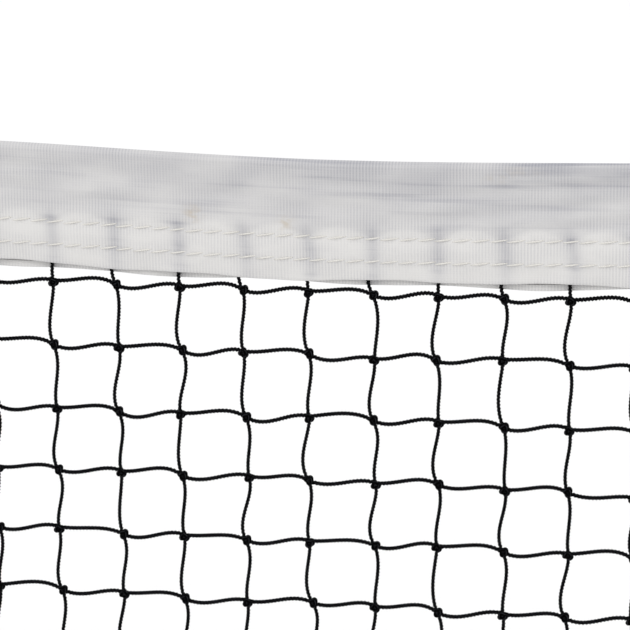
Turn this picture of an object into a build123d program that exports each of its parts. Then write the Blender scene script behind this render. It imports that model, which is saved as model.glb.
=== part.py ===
"""A full-width tennis net, hung from its own cable, without posts or centre strap.

Frame: origin on the ground under the middle of the net. +X runs along the net, +Y across the
court's length, +Z up. Lengths are in millimetres. Every right-hand piece (+X end) has a twin at
the left-hand end, which is the same piece turned half a turn about the upright axis.
"""

from build123d import *

import math
import os

# Whole net
NET_LENGTH = 12800.0            # over the outer edges of the two side bands
NET_HEIGHT = 1070.0             # ground to the top of the headband
HALF_LENGTH = NET_LENGTH / 2
GAP = 0.05                      # clearance between pieces that are sewn or pressed together

# Netting: square mesh, two crossing layers of twine
MESH_PITCH = 45.0               # knot to knot, both ways
TWINE_RADIUS = 1.4
TWINE_LAYER_Y = 1.6             # the upright twines lie in front, the level ones behind
UPRIGHT_TWINES = 284
LEVEL_TWINES = 23
BOTTOM_TWINE_Z = 32.0           # lowest level twine, inside the bottom band
UPRIGHT_BOTTOM_Z = 9.0          # upright twines end just above the bottom line
UPRIGHT_TOP_Z = 1026.0          # and at the top just above the last level twine
LEVEL_TWINE_HALF_LENGTH = 6388.0

# Cloth
CLOTH = 0.7                     # thickness of the band cloth
THREAD_RADIUS = 0.35

# Cable: steel rope with an eye at each end, in a vinyl jacket between the two eyes
CORE_RADIUS = 2.4
JACKET_RADIUS = 3.25
EYE_RADIUS = 12.5               # cable centre line around the thimble
EYE_NECK_RADIUS = 30.0          # bend where the cable leaves the sleeves towards the eye
EYE_REACH = 48.0                # from the end of the straight cable to the middle of the eye
LEG_OFFSET = 2.7                # half the distance between the two legs in a sleeve
CABLE_HALF_LENGTH = 6850.0      # to the outermost point of the eye
TAIL_LENGTH = 70.0              # returned leg, through both sleeves
BARE_MARGIN = 6.0               # from the end of the returned leg to the end of the jacket

# Headband: one cloth folded over the cable, the back wall a little longer than the front
BAND_INNER_HALF = 3.6           # half the space between the two walls
FRONT_WALL_DEPTH = 84.0
BACK_WALL_DEPTH = 87.0
HEADBAND_HALF_LENGTH = 6394.0
STITCH_DEPTHS = {"upper": 53.0, "lower": 69.0}
STITCH_ROW_HALF_LENGTH = 6338.0

# Bottom band, folded over the bottom line
BOTTOM_BAND_HEIGHT = 50.0
BOTTOM_BAND_HALF_LENGTH = 6348.5
BOTTOM_STITCH_Z = 43.0
LINE_RADIUS = 3.0
LINE_HALF_LENGTH = 6390.0

# Side band, folded around the end of the net, and the dowel pocket sewn on it
SIDE_BAND_WIDTH = 55.0
SIDE_BAND_TOP = 1060.0          # stops just under the cable
SIDE_INNER_HALF = 4.6
SIDE_STITCH_X = (6347.4, 6366.0)
DOWEL_X = 6384.0
DOWEL_RADIUS = 4.75
CAP_RADIUS = 5.3
CAP_WALL = 1.2
CAP_LENGTH = 20.0
DOWEL_CLEARANCE = 0.5           # from a cap to the pocket, all round
POCKET_BOTTOM_Z = 2.0
POCKET_FLOOR = 1.0
POCKET_TOP_Z = 1030.0
POCKET_FIN = 6.5                # flat edges of the pocket, sewn to the side band
POCKET_BEND = 1.0
CAP_GAP = 0.3                   # from the pocket's floor to the resting dowel's lower cap
DOWEL_TOP_Z = 1050.0            # top of the upper cap

# Eyelets for the lacing cords, one between every fifth pair of level twines
EYELET_X = 6356.0
EYELET_COUNT = 5
EYELET_SPACING = 5 * MESH_PITCH
EYELET_HOLE_RADIUS = 3.25
EYELET_BARREL_RADIUS = 3.8
EYELET_FLANGE_RADIUS = 7.0
EYELET_FLANGE = 0.6
EYELET_LIP_RADIUS = 4.9
EYELET_LIP = 0.4
PUNCH_HALF_DEPTH = 20.0         # past both walls of the side band

# Worked out from the above
CABLE_Z = NET_HEIGHT - CLOTH - BAND_INNER_HALF
BAND_MIDDLE_HALF = BAND_INNER_HALF + CLOTH / 2
BAND_OUTER_HALF = BAND_INNER_HALF + CLOTH
THREAD_LIFT = GAP + THREAD_RADIUS
SIDE_OUTER_HALF = SIDE_INNER_HALF + CLOTH
SIDE_MIDDLE_HALF = SIDE_INNER_HALF + CLOTH / 2
POCKET_INNER_RADIUS = CAP_RADIUS + DOWEL_CLEARANCE
DOWEL_Y = SIDE_OUTER_HALF + POCKET_INNER_RADIUS
DOWEL_BOTTOM_Z = POCKET_BOTTOM_Z + POCKET_FLOOR + CAP_GAP
LOWEST_EYELET_Z = BOTTOM_TWINE_Z + MESH_PITCH / 2
CABLE_STRAIGHT_HALF = CABLE_HALF_LENGTH - CORE_RADIUS - EYE_RADIUS - EYE_REACH
JACKET_HALF_LENGTH = CABLE_STRAIGHT_HALF - TAIL_LENGTH - BARE_MARGIN


def save(piece, label):
    """Label a finished piece and write it as one STEP file."""
    piece.part.label = label
    export_step(piece.part, f"parts/{label}.step")


def turned(piece):
    """The same piece for the other end of the net: half a turn about the upright axis."""
    with BuildPart() as other_end:
        add(piece.part, rotation=(0, 0, 180))
    return other_end


def save_pair(piece, name):
    """Write a right-hand piece and its left-hand twin."""
    save(piece, f"{name}_right")
    save(turned(piece), f"{name}_left")


# ---------------------------------------------------------------- cable

def eye_points():
    """Corner points of the right-hand eye, in the upright plane through the cable.

    The cable leaves the straight, bends up by the neck radius, runs straight, wraps the eye and
    comes back as a mirror image below it. The straight stretch is the inner tangent between the
    neck's circle and the eye's circle. x counts from the end of the straight, z from the eye's
    middle line.
    """
    neck_z = LEG_OFFSET + EYE_NECK_RADIUS
    between = math.hypot(EYE_REACH, neck_z)
    lean = math.asin((EYE_NECK_RADIUS + EYE_RADIUS) / between) - math.atan2(neck_z, EYE_REACH)
    neck_end = (
        EYE_NECK_RADIUS * math.sin(lean),
        neck_z - EYE_NECK_RADIUS * math.cos(lean),
    )
    wrap_start = (
        EYE_REACH - EYE_RADIUS * math.sin(lean),
        EYE_RADIUS * math.cos(lean),
    )
    return neck_end, wrap_start


EYE_MIDDLE_Z = CABLE_Z - LEG_OFFSET
NECK_END, WRAP_START = eye_points()
EYE_TIP = (EYE_REACH + EYE_RADIUS, 0.0)


def in_cable_plane(point, side):
    """A point of the eye outline as a place in the upright plane, at the +X or -X end."""
    return Vector(side * (CABLE_STRAIGHT_HALF + point[0]), 0, EYE_MIDDLE_Z + point[1])


def below(point):
    """The mirror image of an outline point below the eye's middle line."""
    return (point[0], -point[1])


def cable_route():
    """Centre line of the whole cable, from one returned tail to the other."""
    with BuildLine() as route:
        tail = Line(
            in_cable_plane((-TAIL_LENGTH, -LEG_OFFSET), -1),
            in_cable_plane((0, -LEG_OFFSET), -1),
        )
        bend = TangentArc(tail @ 1, in_cable_plane(below(NECK_END), -1), tangent=tail % 1)
        neck = Line(bend @ 1, in_cable_plane(below(WRAP_START), -1))
        wrap = ThreePointArc(
            neck @ 1, in_cable_plane(EYE_TIP, -1), in_cable_plane(WRAP_START, -1)
        )
        neck = Line(wrap @ 1, in_cable_plane(NECK_END, -1))
        bend = TangentArc(neck @ 1, in_cable_plane((0, LEG_OFFSET), -1), tangent=neck % 1)
        span = Line(bend @ 1, in_cable_plane((0, LEG_OFFSET), 1))
        bend = TangentArc(span @ 1, in_cable_plane(NECK_END, 1), tangent=span % 1)
        neck = Line(bend @ 1, in_cable_plane(WRAP_START, 1))
        wrap = ThreePointArc(
            neck @ 1, in_cable_plane(EYE_TIP, 1), in_cable_plane(below(WRAP_START), 1)
        )
        neck = Line(wrap @ 1, in_cable_plane(below(NECK_END), 1))
        bend = TangentArc(neck @ 1, in_cable_plane((0, -LEG_OFFSET), 1), tangent=neck % 1)
        Line(bend @ 1, in_cable_plane((-TAIL_LENGTH, -LEG_OFFSET), 1))
    return route.wire()


def make_cable():
    """The steel core along the whole route, and the vinyl jacket on its straight stretch."""
    route = cable_route()
    with BuildPart() as core:
        with BuildSketch(Plane(route @ 0, z_dir=route % 0)):
            Circle(CORE_RADIUS)
        sweep(path=route)
    save(core, "cable_core")
    with BuildPart() as jacket:
        with BuildSketch(Plane.YZ.offset(-JACKET_HALF_LENGTH)):
            with Locations((0, CABLE_Z)):
                Circle(JACKET_RADIUS)
                Circle(CORE_RADIUS + GAP, mode=Mode.SUBTRACT)
        extrude(amount=2 * JACKET_HALF_LENGTH)
    save(jacket, "cable_jacket")
    expected = route.length * math.pi * CORE_RADIUS ** 2
    print(f"cable length {route.length:.1f} mm, core volume {core.part.volume:.0f} mm3,"
          f" section times length {expected:.0f} mm3")


THIMBLE_INNER = CORE_RADIUS + GAP       # the groove's radius, around the cable
THIMBLE_OUTER = THIMBLE_INNER + 1.2
THIMBLE_START = 0.12                    # share of the neck's straight left uncovered
GROOVE_HALF_ANGLE = 95.0


def make_thimble():
    """Teardrop gutter inside the eye: an open groove carried along the eye's centre line."""
    begin = (
        NECK_END[0] + THIMBLE_START * (WRAP_START[0] - NECK_END[0]),
        NECK_END[1] + THIMBLE_START * (WRAP_START[1] - NECK_END[1]),
    )
    with BuildLine() as outline:
        neck = Line(in_cable_plane(begin, 1), in_cable_plane(WRAP_START, 1))
        wrap = ThreePointArc(
            neck @ 1, in_cable_plane(EYE_TIP, 1), in_cable_plane(below(WRAP_START), 1)
        )
        Line(wrap @ 1, in_cable_plane(below(begin), 1))
    route = outline.wire()
    start = Plane(route @ 0, x_dir=(0, 1, 0), z_dir=route % 0)
    inward = 90.0 if start.y_dir.Z < 0 else -90.0
    with BuildPart() as thimble:
        with BuildSketch(start):
            with BuildLine():
                outer = CenterArc(
                    (0, 0), THIMBLE_OUTER, inward - GROOVE_HALF_ANGLE, 2 * GROOVE_HALF_ANGLE
                )
                inner = CenterArc(
                    (0, 0), THIMBLE_INNER, inward - GROOVE_HALF_ANGLE, 2 * GROOVE_HALF_ANGLE
                )
                Line(outer @ 0, inner @ 0)
                Line(outer @ 1, inner @ 1)
            make_face()
        sweep(path=route)
    save_pair(thimble, "thimble")


SLEEVE_LENGTH = 22.0
SLEEVE_STARTS = (-24.0, -62.0)          # from the end of the straight cable
SLEEVE_WALL = 1.9
SLEEVE_EDGE = 0.8


def make_sleeves():
    """Two pressed oval sleeves that clamp the cable's returned leg beside the cable."""
    outer_radius = CORE_RADIUS + SLEEVE_WALL
    with BuildPart() as sleeves:
        for sleeve_start in SLEEVE_STARTS:
            near_face = CABLE_STRAIGHT_HALF + sleeve_start
            with BuildSketch(Plane.YZ.offset(near_face)):
                with Locations((0, EYE_MIDDLE_Z)):
                    SlotCenterToCenter(2 * LEG_OFFSET, 2 * outer_radius, rotation=90)
            extrude(amount=SLEEVE_LENGTH)
        rims = edges().filter_by(Plane.YZ)
        chamfer(rims, SLEEVE_EDGE)
        for sleeve_start in SLEEVE_STARTS:
            near_face = CABLE_STRAIGHT_HALF + sleeve_start
            with BuildSketch(Plane.YZ.offset(near_face)):
                with Locations((0, EYE_MIDDLE_Z - LEG_OFFSET), (0, EYE_MIDDLE_Z + LEG_OFFSET)):
                    Circle(CORE_RADIUS + GAP)
            extrude(amount=SLEEVE_LENGTH, mode=Mode.SUBTRACT)
    save_pair(sleeves, "cable_sleeves")


# ---------------------------------------------------------------- bands of cloth

def make_headband():
    """One cloth over the cable: front wall, half round over the top, longer back wall."""
    with BuildPart() as headband:
        with BuildSketch(Plane.YZ.offset(-HEADBAND_HALF_LENGTH)):
            with BuildLine() as fold:
                Line(
                    (-BAND_MIDDLE_HALF, NET_HEIGHT - FRONT_WALL_DEPTH),
                    (-BAND_MIDDLE_HALF, CABLE_Z),
                )
                CenterArc((0, CABLE_Z), BAND_MIDDLE_HALF, 180, -180)
                Line(
                    (BAND_MIDDLE_HALF, CABLE_Z),
                    (BAND_MIDDLE_HALF, NET_HEIGHT - BACK_WALL_DEPTH),
                )
            trace(fold.line, CLOTH)
        extrude(amount=2 * HEADBAND_HALF_LENGTH)
    save(headband, "headband")


def make_level_threads(heights, label):
    """Straight rows of thread on both faces of a band that runs along the net."""
    with BuildPart() as threads:
        with BuildSketch(Plane.YZ.offset(-STITCH_ROW_HALF_LENGTH)):
            for height in heights:
                face = BAND_OUTER_HALF + THREAD_LIFT
                with Locations((-face, height), (face, height)):
                    Circle(THREAD_RADIUS)
        extrude(amount=2 * STITCH_ROW_HALF_LENGTH)
    save(threads, label)


def make_bottom_band():
    """One cloth folded up around the bottom line and the lowest twines."""
    fold_z = BAND_OUTER_HALF
    with BuildPart() as bottom_band:
        with BuildSketch(Plane.YZ.offset(-BOTTOM_BAND_HALF_LENGTH)):
            with BuildLine() as fold:
                Line((-BAND_MIDDLE_HALF, BOTTOM_BAND_HEIGHT), (-BAND_MIDDLE_HALF, fold_z))
                CenterArc((0, fold_z), BAND_MIDDLE_HALF, 180, 180)
                Line((BAND_MIDDLE_HALF, fold_z), (BAND_MIDDLE_HALF, BOTTOM_BAND_HEIGHT))
            trace(fold.line, CLOTH)
        extrude(amount=2 * BOTTOM_BAND_HALF_LENGTH)
    save(bottom_band, "bottom_band")


def make_bottom_line():
    """The rope inside the bottom fold."""
    with BuildPart() as line:
        with BuildSketch(Plane.YZ.offset(-LINE_HALF_LENGTH)):
            with Locations((0, BAND_OUTER_HALF)):
                Circle(LINE_RADIUS)
        extrude(amount=2 * LINE_HALF_LENGTH)
    save(line, "bottom_line")


def eyelet_heights():
    """Heights of the eyelets, from the lowest up."""
    return [LOWEST_EYELET_Z + n * EYELET_SPACING for n in range(EYELET_COUNT)]


def make_side_band():
    """One cloth folded around the net's end, with a punched hole at each eyelet."""
    fold_x = HALF_LENGTH - SIDE_OUTER_HALF
    edge_x = HALF_LENGTH - SIDE_BAND_WIDTH
    with BuildPart() as side_band:
        with BuildSketch(Plane.XY):
            with BuildLine() as fold:
                Line((edge_x, -SIDE_MIDDLE_HALF), (fold_x, -SIDE_MIDDLE_HALF))
                CenterArc((fold_x, 0), SIDE_MIDDLE_HALF, -90, 180)
                Line((fold_x, SIDE_MIDDLE_HALF), (edge_x, SIDE_MIDDLE_HALF))
            trace(fold.line, CLOTH)
        extrude(amount=SIDE_BAND_TOP)
        with BuildSketch(Plane.XZ.offset(-PUNCH_HALF_DEPTH)):
            with Locations(*[(EYELET_X, z) for z in eyelet_heights()]):
                Circle(EYELET_BARREL_RADIUS + GAP)
        extrude(amount=2 * PUNCH_HALF_DEPTH, mode=Mode.SUBTRACT)
    save_pair(side_band, "side_band")


def make_side_threads():
    """Upright rows of thread on both faces of the side band."""
    face = SIDE_OUTER_HALF + THREAD_LIFT
    margin = 5.0
    with BuildPart() as threads:
        with BuildSketch(Plane.XY.offset(margin)):
            for x in SIDE_STITCH_X:
                with Locations((x, -face), (x, face)):
                    Circle(THREAD_RADIUS)
        extrude(amount=SIDE_BAND_TOP - 2 * margin)
    save_pair(threads, "side_band_thread")


# ---------------------------------------------------------------- dowels and their pockets

def make_pocket():
    """Sleeve over the dowel with two flat edges, sewn to the side band and closed below."""
    face = SIDE_OUTER_HALF + GAP + CLOTH / 2
    wall_radius = POCKET_INNER_RADIUS + CLOTH / 2
    left_wall = DOWEL_X - wall_radius
    right_wall = DOWEL_X + wall_radius
    with BuildPart() as pocket:
        with BuildSketch(Plane.XY.offset(POCKET_BOTTOM_Z)):
            with BuildLine() as outline:
                FilletPolyline(
                    (left_wall - POCKET_FIN, face),
                    (left_wall, face),
                    (left_wall, DOWEL_Y),
                    radius=POCKET_BEND,
                )
                CenterArc((DOWEL_X, DOWEL_Y), wall_radius, 180, -180)
                FilletPolyline(
                    (right_wall, DOWEL_Y),
                    (right_wall, face),
                    (right_wall + POCKET_FIN, face),
                    radius=POCKET_BEND,
                )
            trace(outline.line, CLOTH)
        extrude(amount=POCKET_TOP_Z - POCKET_BOTTOM_Z)
        with BuildSketch(Plane.XY.offset(POCKET_BOTTOM_Z)):
            with BuildLine():
                Line((right_wall, DOWEL_Y), (right_wall, face))
                Line((right_wall, face), (left_wall, face))
                Line((left_wall, face), (left_wall, DOWEL_Y))
                CenterArc((DOWEL_X, DOWEL_Y), wall_radius, 180, -180)
            make_face()
        extrude(amount=POCKET_FLOOR)
    save_pair(pocket, "dowel_pocket")


def make_pocket_threads():
    """The two seams that hold the pocket's flat edges."""
    face = SIDE_OUTER_HALF + GAP + CLOTH + THREAD_LIFT
    seam = POCKET_INNER_RADIUS + CLOTH + POCKET_FIN / 2
    margin = 4.0
    with BuildPart() as threads:
        with BuildSketch(Plane.XY.offset(POCKET_BOTTOM_Z + margin)):
            with Locations((DOWEL_X - seam, face), (DOWEL_X + seam, face)):
                Circle(THREAD_RADIUS)
        extrude(amount=POCKET_TOP_Z - POCKET_BOTTOM_Z - 2 * margin)
    save_pair(threads, "pocket_thread")


def make_dowel():
    """Straight rod that spreads the end of the net."""
    low = DOWEL_BOTTOM_Z + CAP_WALL
    high = DOWEL_TOP_Z - CAP_WALL
    with BuildPart() as dowel:
        with BuildSketch(Plane.XY.offset(low)):
            with Locations((DOWEL_X, DOWEL_Y)):
                Circle(DOWEL_RADIUS)
        extrude(amount=high - low)
        chamfer(edges().filter_by(GeomType.CIRCLE), 0.5)
    save_pair(dowel, "dowel")


CAP_ROUND = 0.8
CAP_BORE_GAP = 0.02


def make_dowel_caps():
    """A rubber cap pushed over each end of the dowel."""
    lower = (DOWEL_BOTTOM_Z, DOWEL_BOTTOM_Z + CAP_WALL)
    upper = (DOWEL_TOP_Z - CAP_LENGTH, DOWEL_TOP_Z - CAP_LENGTH)
    with BuildPart() as caps:
        for bottom, bore_bottom in (lower, upper):
            with BuildSketch(Plane.XY.offset(bottom)):
                with Locations((DOWEL_X, DOWEL_Y)):
                    Circle(CAP_RADIUS)
            extrude(amount=CAP_LENGTH)
            with BuildSketch(Plane.XY.offset(bore_bottom)):
                with Locations((DOWEL_X, DOWEL_Y)):
                    Circle(DOWEL_RADIUS + CAP_BORE_GAP)
            extrude(amount=CAP_LENGTH - CAP_WALL, mode=Mode.SUBTRACT)
        ends = edges().filter_by(GeomType.CIRCLE).sort_by(Axis.Z)
        fillet([ends[0], ends[-1]], CAP_ROUND)
    save_pair(caps, "dowel_caps")


# ---------------------------------------------------------------- netting

def make_upright_twines():
    """All the upright twines, side by side at the mesh pitch."""
    first = -(UPRIGHT_TWINES - 1) / 2 * MESH_PITCH
    with BuildPart() as twines:
        with BuildSketch(Plane.XY.offset(UPRIGHT_BOTTOM_Z)):
            with Locations(
                *[(first + n * MESH_PITCH, -TWINE_LAYER_Y) for n in range(UPRIGHT_TWINES)]
            ):
                Circle(TWINE_RADIUS)
        extrude(amount=UPRIGHT_TOP_Z - UPRIGHT_BOTTOM_Z)
    save(twines, "netting_upright_twines")


def make_level_twines():
    """All the level twines, one above the other at the mesh pitch."""
    with BuildPart() as twines:
        with BuildSketch(Plane.YZ.offset(-LEVEL_TWINE_HALF_LENGTH)):
            with Locations(
                *[(TWINE_LAYER_Y, BOTTOM_TWINE_Z + n * MESH_PITCH) for n in range(LEVEL_TWINES)]
            ):
                Circle(TWINE_RADIUS)
        extrude(amount=2 * LEVEL_TWINE_HALF_LENGTH)
    save(twines, "netting_level_twines")


# ---------------------------------------------------------------- eyelets

def make_eyelets():
    """Brass eyelets: flange, barrel through both walls, and the lip rolled over the washer.

    Each is a stack of three rings on one axis, given as its nearest y, depth and outer radius.
    The flange lies flat on the face without the pocket, the washer on the other one.
    """
    flange_y = -SIDE_OUTER_HALF - GAP - EYELET_FLANGE
    washer_y = SIDE_OUTER_HALF + GAP
    lip_y = washer_y + EYELET_FLANGE + GAP
    rings = (
        (flange_y, EYELET_FLANGE, EYELET_FLANGE_RADIUS),
        (flange_y, lip_y - flange_y, EYELET_BARREL_RADIUS),
        (lip_y, EYELET_LIP, EYELET_LIP_RADIUS),
    )
    with BuildPart() as eyelets:
        for near_y, depth, outer_radius in rings:
            with BuildSketch(Plane.XZ.offset(-near_y)):
                with Locations(*[(EYELET_X, z) for z in eyelet_heights()]):
                    Circle(outer_radius)
                    Circle(EYELET_HOLE_RADIUS, mode=Mode.SUBTRACT)
            extrude(amount=-depth)
    save_pair(eyelets, "eyelets")
    with BuildPart() as washers:
        with BuildSketch(Plane.XZ.offset(-washer_y)):
            with Locations(*[(EYELET_X, z) for z in eyelet_heights()]):
                Circle(EYELET_FLANGE_RADIUS)
                Circle(EYELET_BARREL_RADIUS + GAP, mode=Mode.SUBTRACT)
        extrude(amount=-EYELET_FLANGE)
    save_pair(washers, "eyelet_washers")


os.makedirs("parts", exist_ok=True)
make_cable()
make_thimble()
make_sleeves()
make_headband()
for row_name, row_depth in STITCH_DEPTHS.items():
    make_level_threads([NET_HEIGHT - row_depth], f"headband_thread_{row_name}")
make_bottom_band()
make_level_threads([BOTTOM_STITCH_Z], "bottom_band_thread")
make_bottom_line()
make_side_band()
make_side_threads()
make_pocket()
make_pocket_threads()
make_dowel()
make_dowel_caps()
make_upright_twines()
make_level_twines()
make_eyelets()
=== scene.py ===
"""Looks of a full-width tennis net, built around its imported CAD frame.

Every length is in metres, in the CAD frame: +X along the net, +Y across it, +Z up, with the
origin on the ground under the middle. Twines, knots, cloth and stitches are surfaces worked out
with numpy. Right-hand pieces are made once; the left-hand ones are the same arrays turned half a
turn about the upright axis, as on the real net.
"""

from __future__ import annotations

import logging
import math
from dataclasses import dataclass, field
from enum import Enum

import bpy
import numpy as np
from mathutils import Matrix, Vector


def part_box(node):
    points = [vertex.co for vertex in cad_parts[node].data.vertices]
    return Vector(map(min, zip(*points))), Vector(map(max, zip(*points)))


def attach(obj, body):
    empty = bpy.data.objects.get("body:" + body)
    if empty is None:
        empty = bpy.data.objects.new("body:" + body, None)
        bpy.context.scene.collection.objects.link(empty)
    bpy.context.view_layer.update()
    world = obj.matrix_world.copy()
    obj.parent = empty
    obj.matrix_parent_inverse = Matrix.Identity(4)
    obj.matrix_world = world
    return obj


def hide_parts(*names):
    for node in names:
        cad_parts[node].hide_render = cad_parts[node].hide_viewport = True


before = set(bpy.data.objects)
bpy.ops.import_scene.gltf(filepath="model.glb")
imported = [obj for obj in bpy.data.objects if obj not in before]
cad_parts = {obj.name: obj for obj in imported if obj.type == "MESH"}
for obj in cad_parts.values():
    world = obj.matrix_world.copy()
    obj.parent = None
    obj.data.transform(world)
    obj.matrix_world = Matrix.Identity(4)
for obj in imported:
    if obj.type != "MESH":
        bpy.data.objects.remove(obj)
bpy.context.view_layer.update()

LOG = logging.getLogger("tennis_net")
MM = 0.001
TAU = 2 * math.pi
LIP_STEPS = 4
X_AXIS = np.array([1.0, 0.0, 0.0])
Y_AXIS = np.array([0.0, 1.0, 0.0])
Z_AXIS = np.array([0.0, 0.0, 1.0])

Array = np.ndarray


class End(Enum):
    """The two ends of the net, with the sign that turns a right-hand piece to that end."""

    RIGHT = 1
    LEFT = -1

    @property
    def word(self) -> str:
        """The end's name as the CAD nodes spell it."""
        return self.name.lower()

    def turned(self, points: Array) -> Array:
        """Right-hand points at this end: x and y change sign together for the left one."""
        return points * np.array([self.value, self.value, 1.0])


class Side(Enum):
    """The two faces of the net, with the sign of their outward direction along Y."""

    FRONT = -1
    BACK = 1


# ---------------------------------------------------------------- meshes

def corners_of(node: str) -> Array:
    """Every corner of a CAD node's mesh, shaped (n, 3).

    Args:
        node: The node's name.

    Returns:
        The corners, in metres.
    """
    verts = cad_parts[node].data.vertices
    places = np.empty(3 * len(verts), np.float32)
    verts.foreach_get("co", places)
    return places.reshape(-1, 3).astype(float)


@dataclass
class Patch:
    """Points with faces on them: one array of faces for each number of corners."""

    points: Array
    faces: list[Array]
    uvs: list[Array]
    values: dict[str, Array] = field(default_factory=dict)


def grid(points: Array, uv: Array, holes: Array | None = None, **values: Array) -> Patch:
    """An open sheet over a two-way grid of points.

    The face at (i, j) joins points (i, j), (i+1, j), (i+1, j+1) and (i, j+1), so it faces along
    the cross product of the i direction and the j direction.

    Args:
        points: Places, shaped (m, n, 3).
        uv: Map coordinates, shaped (m, n, 2).
        holes: True for the faces to leave out, shaped (m - 1, n - 1).
        values: Numbers for the finish at each point, each shaped (m, n).

    Returns:
        The sheet.
    """
    rows, columns = points.shape[:2]
    index = np.arange(rows * columns).reshape(rows, columns)
    corners = (index[:-1, :-1], index[1:, :-1], index[1:, 1:], index[:-1, 1:])
    faces = np.stack(corners, axis=-1)
    faces = faces.reshape(-1, 4) if holes is None else faces[~holes]
    flat_uv = uv.reshape(-1, 2)
    flat_values = {name: value.ravel() for name, value in values.items()}
    return Patch(points.reshape(-1, 3), [faces], [flat_uv[faces]], flat_values)


def unit(vectors: Array) -> Array:
    """Each vector divided by its own length."""
    return vectors / np.linalg.norm(vectors, axis=-1, keepdims=True)


def run_along(points: Array) -> Array:
    """Distance walked from the first of some points to each of them."""
    return np.concatenate([[0.0], np.cumsum(np.linalg.norm(np.diff(points, axis=0), axis=-1))])


def tubes(
    lines: Array,
    radius: Array | float,
    sides: int,
    hint: Array,
    closed: bool = False,
    turn: Array | float = 0.0,
    lobe: float = 0.0,
) -> Patch:
    """Round tubes along many lines at once.

    Each ring is centre + r (cos a * n1 + sin a * n2), where n1 is the tangent crossed with the
    hint and n2 the tangent crossed with n1. With a lobe, every other point stands out and the
    rest stand in by that share of r, and the turn winds the ring round, which makes strands.

    Args:
        lines: Centre lines, shaped (n, m, 3).
        radius: One radius, or one for each of the m points.
        sides: Points in a ring.
        hint: A direction that no tangent runs along.
        closed: True where each line is a loop.
        turn: Angle of each ring about its tangent, in radians, one or m of them.
        lobe: Depth of the strands as a share of the radius.

    Returns:
        All the tubes, with flat ends where the lines are open. The map's u runs round the tube
        from 0 to 1 and v along it in metres.
    """
    count, steps = lines.shape[:2]
    if closed:
        tangent = np.roll(lines, -1, axis=1) - np.roll(lines, 1, axis=1)
    else:
        tangent = np.gradient(lines, axis=1)
    tangent = unit(tangent)
    normal = unit(np.cross(tangent, hint))
    binormal = np.cross(tangent, normal)
    around = np.arange(sides)
    angle = TAU * around / sides + np.broadcast_to(turn, (steps,))[:, None]
    out = 1 + lobe * np.where(around % 2 == 0, 1.0, -1.0)
    reach = np.broadcast_to(radius, (steps,))[:, None] * out
    ring = (reach * np.cos(angle))[None, ..., None] * normal[:, :, None]
    ring = ring + (reach * np.sin(angle))[None, ..., None] * binormal[:, :, None]
    points = lines[:, :, None] + ring

    index = np.arange(count * steps * sides).reshape(count, steps, sides)
    ahead = np.roll(index, -1, axis=1) if closed else index[:, 1:]
    here = index if closed else index[:, :-1]
    corners = (here, np.roll(here, -1, axis=2), np.roll(ahead, -1, axis=2), ahead)
    faces = np.stack(corners, axis=-1)
    along = np.linalg.norm(np.diff(lines, axis=1), axis=-1)
    along = np.concatenate([np.zeros((count, 1)), np.cumsum(along, axis=1)], axis=1)
    if closed:
        along = np.concatenate([along, along[:, -1:] + along[:, 1:2]], axis=1)
    low = np.broadcast_to(along[:, :-1, None], here.shape)
    high = np.broadcast_to(along[:, 1:, None], here.shape)
    left = np.broadcast_to(around / sides, here.shape)
    right = left + 1 / sides
    uv = np.stack(
        [np.stack(pair, -1) for pair in ((left, low), (right, low), (right, high), (left, high))],
        axis=-2,
    )
    all_faces, all_uvs = [faces.reshape(-1, 4)], [uv.reshape(-1, 4, 2)]
    if not closed:
        caps = np.concatenate([index[:, 0, ::-1], index[:, -1]])
        all_faces.append(caps)
        all_uvs.append(np.zeros(caps.shape + (2,)))
    return Patch(points.reshape(-1, 3), all_faces, all_uvs)


def piece(name: str, patches: list[Patch], material: bpy.types.Material) -> bpy.types.Object:
    """One mesh object from some patches, shaded smooth.

    Args:
        name: The object's name.
        patches: What it is made of, joined into one mesh.
        material: Its finish.

    Returns:
        The object, linked to the scene, at the origin.
    """
    starts = np.cumsum([0] + [len(p.points) for p in patches])
    points = np.concatenate([p.points for p in patches])
    corners = [f + s for p, s in zip(patches, starts) for f in p.faces]
    sizes = np.concatenate([np.full(len(c), c.shape[1]) for c in corners])
    uv = np.concatenate([u.reshape(-1, 2) for p in patches for u in p.uvs])
    mesh = bpy.data.meshes.new(name)
    mesh.vertices.add(len(points))
    mesh.vertices.foreach_set("co", points.astype(np.float32).ravel())
    mesh.loops.add(int(sizes.sum()))
    mesh.loops.foreach_set("vertex_index", np.concatenate([c.ravel() for c in corners]))
    mesh.polygons.add(len(sizes))
    mesh.polygons.foreach_set("loop_start", np.cumsum(sizes) - sizes)
    mesh.update(calc_edges=True)
    mesh.uv_layers.new(name="UVMap").uv.foreach_set("vector", uv.astype(np.float32).ravel())
    for label in patches[0].values:
        numbers = np.concatenate([p.values[label] for p in patches]).astype(np.float32)
        mesh.attributes.new(label, "FLOAT", "POINT").data.foreach_set("value", numbers)
    mesh.shade_smooth()
    mesh.materials.append(material)
    made = bpy.data.objects.new(name, mesh)
    bpy.context.scene.collection.objects.link(made)
    return made


def eased(at: Array, places: tuple[float, ...], values: tuple[float, ...]) -> Array:
    """A curve through given values that is level at each of them.

    Between two places the value moves by 3 s^2 - 2 s^3 of the difference, where s is the share of
    the way from one to the next.

    Args:
        at: Where the curve is read.
        places: Where it has its given values, in rising order.
        values: The value at each of those places.

    Returns:
        The curve's value at each spot, shaped as at.
    """
    spots, levels = np.array(places), np.array(values)
    left = np.clip(np.searchsorted(spots, at, side="right") - 1, 0, len(spots) - 2)
    share = np.clip((at - spots[left]) / (spots[left + 1] - spots[left]), 0, 1)
    return levels[left] + (levels[left + 1] - levels[left]) * share**2 * (3 - 2 * share)


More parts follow.
